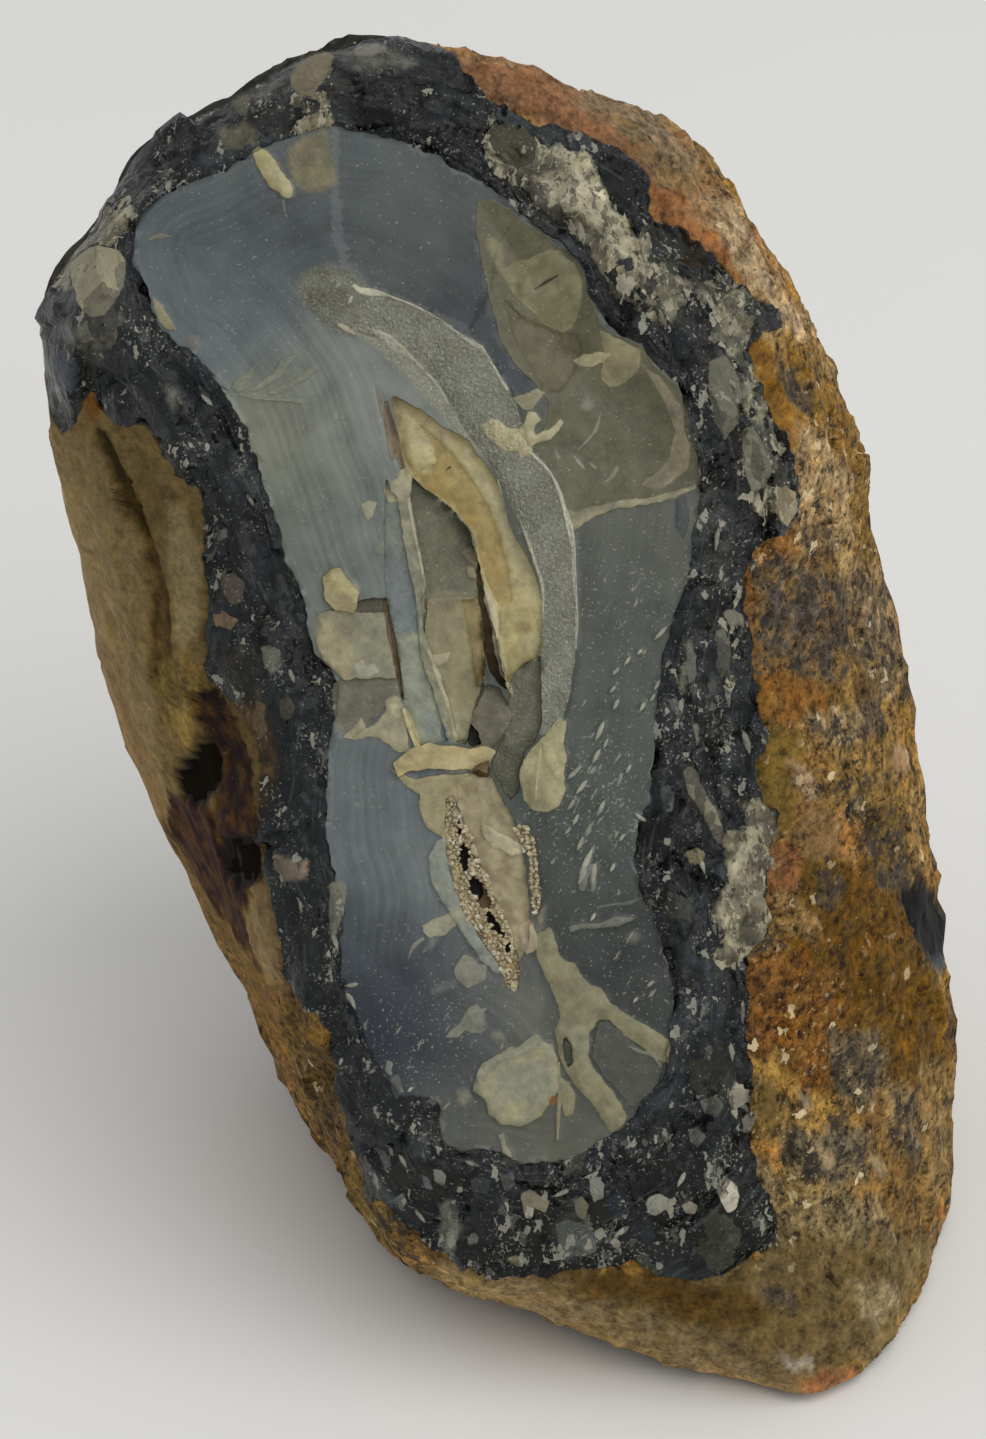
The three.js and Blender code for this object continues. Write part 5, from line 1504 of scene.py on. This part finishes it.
def build_surface():
    """The stone's finished vertices, its triangles and what is painted on them."""
    patches = crisp_patches()
    edge = irregular(BREAK, 0.5, 2.2, seed=1)
    agate = irregular(AGATE, 0.3, 1.6, seed=2)
    borders = grounded([edge, agate] + [patch.outline for patch in patches if patch.soft <= CRISP])

    def step_at(points):
        inside = signed_distance(points, agate, reach=1.0) > 0
        return np.where(inside, np.where(busy(points, patches), BUSY_STEP, PLAIN_STEP), RIM_STEP)

    points, normals, faces, sheet_size, sheet_edge = stone_mesh(borders, step_at)
    share = own_height_share(points[:sheet_size, :2])
    points[:sheet_size, 2] *= share
    share = share[:, None]
    normals[:sheet_size] = normals[:sheet_size] * share + np.array([0, 0, 1.0]) * (1 - share)
    normals = softened(normals, faces)
    surface = Surface(points, normals, sheet_size, sheet_edge)
    surface.paint_skin()
    surface.paint_rim(edge)
    surface.paint_agate(agate)
    for seed, patch in enumerate(patches):
        surface.add(patch, seed)
    return surface, faces


def busy(points, patches):
    """Whether small crisp patches are near, so that the mesh has to be fine."""
    near = np.zeros(len(points), bool)
    for patch in patches:
        low, high = patch.outline.min(0) - 0.5, patch.outline.max(0) + 0.5
        if (high - low).max() < BUSY_SIZE:
            near |= np.all((points > low) & (points < high), axis=1)
    return near


def add_mesh(name, points, faces, *materials):
    mesh = bpy.data.meshes.new(name)
    mesh.from_pydata(points.tolist(), [], [tuple(int(i) for i in face) for face in faces])
    for material in materials:
        mesh.materials.append(material)
    mesh.shade_smooth()
    piece = bpy.data.objects.new(name, mesh)
    bpy.context.scene.collection.objects.link(piece)
    return piece


def finish_stone(surface, faces):
    points = surface.base + surface.normal * (surface.relief * surface.give)[:, None]
    points[:, 2] += surface.height
    placed = to_stone(points)
    placed[:, 2] = np.maximum(placed[:, 2], 0)
    materials = agate_material(), rim_material(), skin_material(), hole_shade_material()
    agate, rim, skin, hollow = range(len(materials))
    piece = add_mesh("agate_geode", placed, faces, *materials)
    mesh = piece.data
    corners = np.array(faces)
    of_rim, of_skin = (surface.marks[name][corners].mean(1) > 0.5 for name in ("rim", "skin"))
    # skin faces painted near-black are the painted shade inside deep holes, and get the hole-shade material
    of_hole_shade = of_skin & np.all(surface.colour.max(1)[corners] < DARKEST, axis=1)
    kind = np.select([of_hole_shade, of_skin, of_rim], [hollow, skin, rim], agate)
    mesh.polygons.foreach_set("material_index", kind.astype(np.int32))
    albedo = seen_colour(surface.colour, surface.light[:, None]) * surface.gain[:, None]
    albedo = np.minimum(albedo, ALBEDO_RANGE[1])
    tint = mesh.attributes.new("tint", "FLOAT_COLOR", "POINT")
    tint.data.foreach_set("color", np.column_stack([albedo, np.ones(len(points))]).ravel())
    for name, values in surface.marks.items():
        mark = mesh.attributes.new(name, "FLOAT", "POINT")
        mark.data.foreach_set("value", values.astype(np.float32))
    mesh.set_sharp_from_angle(angle=SHARP_ANGLE)
    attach(piece, "root")
    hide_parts(NODE)
    return piece


# ---------------------------------------------------------------------------------------------
# Materials
# ---------------------------------------------------------------------------------------------
class Recipe:
    """One material's nodes."""

    def __init__(self, name):
        self.material = bpy.data.materials.new(name)
        self.material.use_nodes = True
        self.tree = self.material.node_tree
        self.shader = self.tree.nodes["Principled BSDF"]
        self.place_of = {}
        place = self.node("TexCoord").outputs["Object"]
        self.mm = self.node("VectorMath", {0: place, "Scale": 1 / MM}, operation="SCALE").outputs[0]

    def node(self, kind, inputs=None, **settings):
        made = self.tree.nodes.new("ShaderNode" + kind)
        for name, value in settings.items():
            setattr(made, name, value)
        for name, value in (inputs or {}).items():
            self.feed(made.inputs[name], value)
        return made

    def feed(self, socket, value):
        if isinstance(value, bpy.types.NodeSocket):
            self.tree.links.new(value, socket)
        else:
            socket.default_value = value

    def vector(self, operation, *values):
        return self.node("VectorMath", dict(enumerate(values)), operation=operation).outputs[0]

    def calc(self, operation, *values, clamp=False):
        made = self.node("Math", dict(enumerate(values)), operation=operation, use_clamp=clamp)
        return made.outputs[0]

    def product(self, *values):
        result = values[0]
        for value in values[1:]:
            result = self.calc("MULTIPLY", result, value)
        return result

    def mark(self, name):
        return self.node("Attribute", attribute_name=name).outputs["Fac"]

    def between(self, value, low, high):
        inputs = {"Value": value, "From Min": low, "From Max": high}
        return self.node("MapRange", inputs, interpolation_type="SMOOTHSTEP").outputs[0]

    def spread(self, value, low, high):
        """A noise from 0 to 1, stretched to run from low to high."""
        inputs = {"Value": value, "From Min": 0.3, "From Max": 0.7, "To Min": low, "To Max": high}
        return self.node("MapRange", inputs).outputs[0]

    def mix(self, first, second, share):
        made = self.node("Mix", data_type="RGBA")
        for index, value in ((0, share), (6, first), (7, second)):
            self.feed(made.inputs[index], value)
        return made.outputs[2]

    def noise(self, wave, detail=2.0, roughness=0.5, place=None, seed=0.0, stretch=(1, 1, 1)):
        """3-D noise of that wavelength in mm."""
        scale = [1 / (wave * way) for way in stretch]
        moved = self.vector("MULTIPLY_ADD", place or self.mm, scale, (seed, -seed, 2 * seed))
        inputs = {"Vector": moved, "Scale": 1.0, "Detail": detail, "Roughness": roughness}
        return self.node("TexNoise", inputs).outputs["Fac"]

    def scale(self, colour, light):
        return self.node("VectorMath", {0: colour, "Scale": light}, operation="SCALE").outputs[0]

    def total(self, *values):
        result = values[0]
        for value in values[1:]:
            result = self.calc("ADD", result, value)
        return result

    def bent(self, wave, reach, seed=0.0):
        """The place in mm, shifted about by up to that much, so that cells get ragged borders."""
        moved = self.vector("MULTIPLY_ADD", self.mm, (1 / wave,) * 3, (seed,) * 3)
        shift = self.node("TexNoise", {"Vector": moved, "Scale": 1.0, "Detail": 3.0}).outputs["Color"]
        return self.vector("MULTIPLY_ADD", shift, (2 * reach,) * 3, self.mm)

    def cells(self, size, seed=0.0, stretch=(1, 1, 1), place=None):
        """3-D cells about that wide in mm."""
        scale = [1 / (size * way) for way in stretch]
        moved = self.vector("MULTIPLY_ADD", place or self.mm, scale, (seed,) * 3)
        made = self.node("TexVoronoi", {"Vector": moved, "Scale": 1.0})
        self.place_of[made] = moved
        return made

    def number(self, cells, which=0):
        """Each cell's own random number, 0 to 1: the first, second or third of them."""
        return self.node("SeparateColor", {"Color": cells.outputs["Color"]}).outputs[which]

    def scaled(self, value, low, high):
        """A number from 0 to 1, run from low to high."""
        return self.calc("MULTIPLY_ADD", value, high - low, low)

    def slant(self, cells, slope):
        """A height in mm that slants its own way in each cell."""
        way = self.vector("SUBTRACT", cells.outputs["Color"], (0.5, 0.5, 0.5))
        off = self.vector("SUBTRACT", self.place_of[cells], cells.outputs["Position"])
        return self.product(self.dot(way, off), slope)

    def dot(self, first, second):
        return self.node("VectorMath", {0: first, 1: second}, operation="DOT_PRODUCT").outputs["Value"]

    def lines(self, place, wave, seed=0.0):
        """1-D noise along a distance in mm."""
        moved = self.calc("ADD", self.calc("DIVIDE", place, wave), seed)
        inputs = {"W": moved, "Scale": 1.0, "Detail": 1.0}
        return self.node("TexNoise", inputs, noise_dimensions="1D").outputs["Fac"]


def linear(rgb, light=LIGHT):
    return (*seen_colour(rgb, light).tolist(), 1.0)


def painted(r, light):
    """The painted colour, brightened or darkened."""
    return r.scale(r.node("Attribute", attribute_name="tint").outputs["Color"], light)


def finish(r, colour, roughness, height, specular):
    r.feed(r.shader.inputs["Base Color"], colour)
    rough = r.calc("SUBTRACT", 0.98, r.product(r.mark("gloss"), 0.8))
    r.feed(r.shader.inputs["Roughness"], r.calc("ADD", rough, r.spread(roughness, -0.08, 0.08)))
    r.shader.inputs["IOR"].default_value = QUARTZ_IOR
    r.shader.inputs["Specular IOR Level"].default_value = specular
    bump = r.node("Bump", {"Height": height, "Distance": MM, "Strength": BUMP_STRENGTH})
    r.feed(r.shader.inputs["Normal"], bump.outputs[0])
    return r.material


def agate_material():
    r = Recipe("banded_agate")
    frost, druse, banding, band = r.mark("frost"), r.mark("druse"), r.mark("banding"), r.mark("band")
    chip = r.calc("SUBTRACT", r.mark("chip"), frost, clamp=True)

    # bands, brighter and darker, with a fine haze, mottled chips and grains
    broad = r.spread(r.lines(band, 1.5), -0.17, 0.17)
    fine = r.spread(r.lines(band, 0.45, 7.0), -0.12, 0.12)
    bands = r.product(r.calc("ADD", broad, fine), banding)
    haze = r.noise(2.2, 4, seed=3)
    mottle = r.noise(0.9, 5, 0.65, seed=4)
    grain = r.product(r.spread(r.noise(0.3, 3, seed=5), -0.2, 0.2), r.calc("MAXIMUM", frost, druse))
    mottled = r.product(r.spread(mottle, -0.24, 0.24), chip)
    colour = painted(r, r.total(1.0, bands, r.spread(haze, -0.13, 0.13), mottled, grain))

    # stray flakes, all slanting the same way, fine dust, and glints in the frosted slope
    along, across = r.dot(r.mm, FLAKE_RUN), r.dot(r.mm, FLAKE_SIDE)
    slanting = r.node("CombineXYZ", {0: r.product(along, 0.33), 1: across}).outputs[0]
    amount = r.product(r.mark("flakes"), 0.12)
    stray = r.calc("ADD", r.noise(0.7, 4, 0.6, place=slanting, seed=43), amount)
    colour = r.mix(colour, linear((132, 133, 120)), r.product(r.between(stray, 0.7, 0.75), 0.75))
    dust = r.calc("ADD", r.noise(0.26, 2, 0.5, seed=44), r.product(amount, 0.5))
    colour = r.mix(colour, linear((138, 140, 130)), r.product(r.between(dust, 0.67, 0.72), 0.6))
    glints = r.product(r.between(r.noise(0.22, 1, 0.5, seed=47), 0.6, 0.68), frost, 0.5)
    colour = r.mix(colour, linear((172, 170, 154)), glints)
    height = r.total(r.product(mottle, chip, 0.12), r.product(haze, 0.03), r.product(grain, 0.3))
    return finish(r, colour, haze, height, 0.35)


def rim_material():
    r = Recipe("dark_rim")
    pale, band, much = r.mark("pale"), r.mark("band"), r.mark("flakes")

    # glassy shards, large and small, drawn out up and down, each with its own tone
    bent = r.bent(1.6, 0.9)
    shards = r.cells(2.6, 11, (1, 1, 1.8), bent)
    small = r.cells(0.8, 12, (0.8, 0.8, 2.0), bent)
    slivers = r.cells(0.6, 16, (0.8, 0.8, 2.6), r.bent(0.7, 0.4, 5.0))
    own, little = r.number(shards), r.number(small)
    fine = r.noise(0.5, 5, 0.65, seed=13, stretch=(1, 1, 2.6))
    streaks = r.noise(1.3, 4, 0.6, seed=15, stretch=(1, 1, 3.5))
    crust = r.between(r.calc("ADD", pale, r.scaled(little, -0.4, 0.4)), 0.47, 0.53)
    dark = r.calc("SUBTRACT", 1.0, crust)
    colour = r.mix(painted(r, 1.0), linear((28, 29, 28)), r.product(r.between(pale, 0.02, 0.2), dark))
    finer = r.calc("ADD", 1.0, r.spread(fine, -0.3, 0.3))
    tone = r.product(r.scaled(own, 0.3, 1.3), r.scaled(little, 0.7, 1.3), finer)
    tone = r.calc("ADD", tone, r.product(r.calc("SUBTRACT", 1.0, tone), r.mark("chip"), 0.65))
    colour = r.mix(r.scale(colour, tone), r.scale(colour, r.scaled(tone, 0.5, 1.0)), crust)

    # lighter facets, white flakes and specks in clusters, faint bluish lines along the rim that are painted
    # sheen, and a ragged crust
    clusters = r.spread(r.noise(3.5, 3, seed=35), -0.22, 0.22)
    amount = r.calc("ADD", r.product(much, 0.07), clusters)
    specks = r.calc("ADD", r.noise(0.28, 2, 0.5, seed=37), r.product(amount, 0.4))
    gaps = r.noise(0.8, 5, 0.68, seed=41, stretch=(0.7, 1.0, 1.8))
    sheen_lines = r.product(r.between(r.lines(band, 0.5, 3.0), 0.57, 0.64), r.between(streaks, 0.46, 0.6))
    over = [
        (r.between(r.number(shards, 1), 0.86, 0.87), dark, 0.5, (42, 45, 48)),
        (r.between(r.number(shards, 2), 0.9, 0.91), r.product(dark, much), 0.6, (70, 70, 58)),
        # the bluish lines of painted sheen
        (sheen_lines, dark, 0.4, (76, 81, 81)),
        (r.between(r.calc("ADD", little, amount), 1.04, 1.05), dark, 0.7, (88, 89, 82)),
        (r.between(r.calc("ADD", r.number(slivers), amount), 1.03, 1.045), dark, 0.9, (140, 138, 124)),
        (r.between(specks, 0.66, 0.7), dark, 0.8, (122, 122, 110)),
        (r.between(gaps, 0.55, 0.58), crust, 0.8, (48, 47, 40)),
        (r.between(little, 0.24, 0.2), crust, 0.6, (72, 70, 60)),
        (r.between(r.product(little, streaks), 0.42, 0.46), crust, 0.7, (168, 162, 140)),
        (r.between(fine, 0.58, 0.64), crust, 0.6, (174, 169, 146)),
    ]
    for share, where, strength, rgb in over:
        colour = r.mix(colour, linear(rgb), r.product(share, where, strength))
    slanting = r.calc("ADD", r.slant(shards, 0.9), r.slant(small, 0.4))
    height = r.total(r.product(fine, 0.12), slanting, r.product(little, 0.1))
    return finish(r, colour, streaks, height, 0.2)


def skin_material():
    r = Recipe("rusty_skin")
    grit, dark_chips, crumbs = r.mark("flakes"), r.mark("chip"), r.mark("pale")
    deep = (1, 2, 1)
    rough = r.noise(1.4, 6, 0.7, seed=14, stretch=deep)
    middle = r.noise(3.4, 5, 0.65, seed=17, stretch=deep)
    fine = r.noise(0.5, 4, 0.65, seed=21, stretch=deep)
    much = r.scaled(grit, 0.25, 1.0)
    speckle = r.product(r.calc("ADD", r.spread(rough, -1.2, 1.2), r.spread(fine, -0.9, 0.9)), much)
    colour = painted(r, r.calc("MAXIMUM", r.calc("ADD", r.scaled(grit, 1.0, 1.2), speckle), 0.2))

    # rustier and greyer patches
    rust, grey = (r.vector("MULTIPLY", colour, tint) for tint in ((1.07, 0.98, 0.8), (0.82, 0.88, 1.05)))
    colour = r.mix(colour, rust, r.product(r.between(middle, 0.52, 0.6), much, 0.8))
    colour = r.mix(colour, grey, r.product(r.between(middle, 0.46, 0.38), much, 0.8))

    # dark grey crusts, pale crumbs and pits
    crusts = r.calc("ADD", r.noise(1.5, 6, 0.7, seed=19, stretch=deep), r.product(dark_chips, 0.14))
    grains = r.noise(0.55, 5, 0.7, seed=25, stretch=deep)
    shards = r.cells(0.7, 24, deep, r.bent(0.6, 0.5))
    tone = r.number(shards, 2)
    ragged = r.calc("ADD", crusts, r.scaled(tone, -0.06, 0.06))
    pits = r.calc("ADD", grains, r.product(dark_chips, 0.05))
    pale_grains = r.calc("SUBTRACT", grains, r.product(crumbs, 0.07))
    pale_shards = r.calc("ADD", r.number(shards), r.product(crumbs, 0.04))
    over = [
        (r.between(crusts, 0.64, 0.67), 0.75, (62, 56, 49)),
        (r.between(ragged, 0.7, 0.72), 0.7, (38, 37, 36)),
        (r.between(pits, 0.62, 0.65), 0.8, (36, 29, 20)),
        (r.between(pale_grains, 0.34, 0.31), 0.6, (150, 130, 94)),
        (r.between(pale_shards, 1.0, 1.01), r.scaled(tone, 0.3, 0.9), (176, 160, 128)),
    ]
    for share, strength, rgb in over:
        colour = r.mix(colour, linear(rgb, SKIN_LIGHT), r.product(share, much, strength))
    sunk = r.product(r.between(grains, 0.6, 0.66), grit, -0.08)
    height = r.total(r.product(rough, much, 0.55), r.product(fine, much, 0.16), sunk)
    return finish(r, colour, middle, height, 0.12)


def hole_shade_material():
    """Painted shade inside the deep holes in the flank: near-black, with almost no shine."""
    r = Recipe("painted_hole_shade")
    colour = r.mix((0.002, 0.002, 0.002, 1), (0.012, 0.008, 0.004, 1), r.noise(1.2, 4, 0.6, seed=95))
    r.feed(r.shader.inputs["Base Color"], colour)
    r.shader.inputs["Roughness"].default_value = 0.95
    r.shader.inputs["Specular IOR Level"].default_value = 0.02
    return r.material


def quartz_material():
    r = Recipe("small_quartz")
    shade = r.noise(1.4, 3, 0.6, seed=81)
    colour = r.mix(linear((180, 166, 132)), linear((136, 106, 68)), r.between(shade, 0.56, 0.72))
    white = r.product(r.between(r.noise(0.6, 2, seed=83), 0.5, 0.62), 0.7)
    colour = r.mix(colour, linear((205, 198, 176)), white)
    r.feed(r.shader.inputs["Base Color"], colour)
    r.feed(r.shader.inputs["Roughness"], r.spread(r.noise(0.5, 2, seed=89), 0.15, 0.45))
    r.shader.inputs["IOR"].default_value = QUARTZ_IOR
    r.shader.inputs["Transmission Weight"].default_value = 0.12
    return r.material


def floor_material():
    r = Recipe("pale_floor")
    colour = r.mix((0.68, 0.67, 0.645, 1), (0.66, 0.65, 0.625, 1), r.noise(60.0, 3, seed=91))
    r.feed(r.shader.inputs["Base Color"], colour)
    r.shader.inputs["Roughness"].default_value = 0.9
    return r.material


# ---------------------------------------------------------------------------------------------
# The crust of small quartz points in the slit
# ---------------------------------------------------------------------------------------------
def crystal(place, along, width, length, turn):
    """A six-sided point: its 13 corners and its triangles."""
    side = np.cross(along, (0.3, 0.5, 0.81))
    side /= np.linalg.norm(side)
    other = np.cross(along, side)
    angles = turn + np.arange(6) * math.pi / 3
    ring = (np.cos(angles)[:, None] * side + np.sin(angles)[:, None] * other) * width / 2
    low, high = place - along * CRYSTAL_FOOT + ring, place + along * length * CRYSTAL_SHOULDER + ring
    corners = np.vstack([low, high, place + along * length])
    faces = []
    for i in range(6):
        j = (i + 1) % 6
        faces += [(i, j, 6 + j), (i, 6 + j, 6 + i), (6 + i, 6 + j, 12)]
    faces += [(0, i + 1, i) for i in range(1, 5)]
    return corners, faces


def quartz_crust(stone, material):
    mesh = stone.data
    points = to_face(read_vectors(mesh.vertices, "co"))
    normals = read_vectors(mesh.vertices, "normal") @ AXES.T
    druse = np.empty(len(mesh.vertices), np.float32)
    mesh.attributes["druse"].data.foreach_get("value", druse)
    rng = np.random.default_rng(5)
    grown = np.flatnonzero(druse > GROWN)
    chosen = rng.choice(grown, min(CRYSTALS, len(grown)), replace=False)
    corners, faces = [], []
    for i in chosen:
        along = normals[i] * 0.7 + np.array([0, 0, 0.4]) + rng.normal(0, 0.6, 3)
        along /= np.linalg.norm(along)
        width = rng.uniform(*CRYSTAL_WIDTHS)
        length = width * rng.uniform(*CRYSTAL_LENGTHS)
        made, sides = crystal(points[i], along, width, length, rng.uniform(0, math.pi))
        start = len(corners) * CRYSTAL_CORNERS
        corners.append(made)
        faces += [tuple(start + k for k in side) for side in sides]
    crust = add_mesh("quartz_points", to_stone(np.vstack(corners)), faces, material)
    crust.data.shade_flat()
    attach(crust, "root")


# ---------------------------------------------------------------------------------------------
# The scene
# ---------------------------------------------------------------------------------------------
def aimed(kind, name, place, target):
    """A light or camera object that looks from one place, in metres, to another."""
    thing = bpy.data.objects.new(name, kind)
    bpy.context.scene.collection.objects.link(thing)
    thing.location = place
    thing.rotation_euler = (Vector(target) - Vector(place)).to_track_quat("-Z", "Y").to_euler()
    return thing


def add_camera():
    camera = bpy.data.cameras.new("camera")
    camera.sensor_width = SENSOR_WIDTH
    camera.lens = SENSOR_WIDTH * CAMERA_DISTANCE / PICTURE_HEIGHT
    camera.clip_start, camera.clip_end = CLIP_NEAR, CLIP_FAR
    holder = aimed(camera, "camera", to_stone(np.array([0, 0, CAMERA_DISTANCE])), FACE_CENTRE * MM)
    bpy.context.scene.camera = holder


def add_window():
    light = bpy.data.lights.new("window", "AREA")
    light.shape = "DISK"
    light.size = WINDOW_SIZE
    light.energy = WINDOW_POWER
    light.color = WINDOW_COLOUR
    aimed(light, "window", WINDOW_PLACE, WINDOW_TARGET)


def add_surroundings():
    corners = FLOOR_HALF * np.array([[-1, -1, 0], [1, -1, 0], [1, 1, 0], [-1, 1, 0]])
    floor = add_mesh("floor", corners, [(0, 1, 2, 3)], floor_material())
    world = bpy.data.worlds.new("pale_room")
    world.use_nodes = True
    background = world.node_tree.nodes["Background"]
    background.inputs["Color"].default_value = ROOM_COLOUR
    background.inputs["Strength"].default_value = ROOM_LIGHT
    bpy.context.scene.world = world
    add_window()
    bpy.context.scene.view_settings.view_transform = "Standard"


surface, triangles = build_surface()
stone = finish_stone(surface, triangles)
quartz_crust(stone, quartz_material())
add_camera()
add_surroundings()
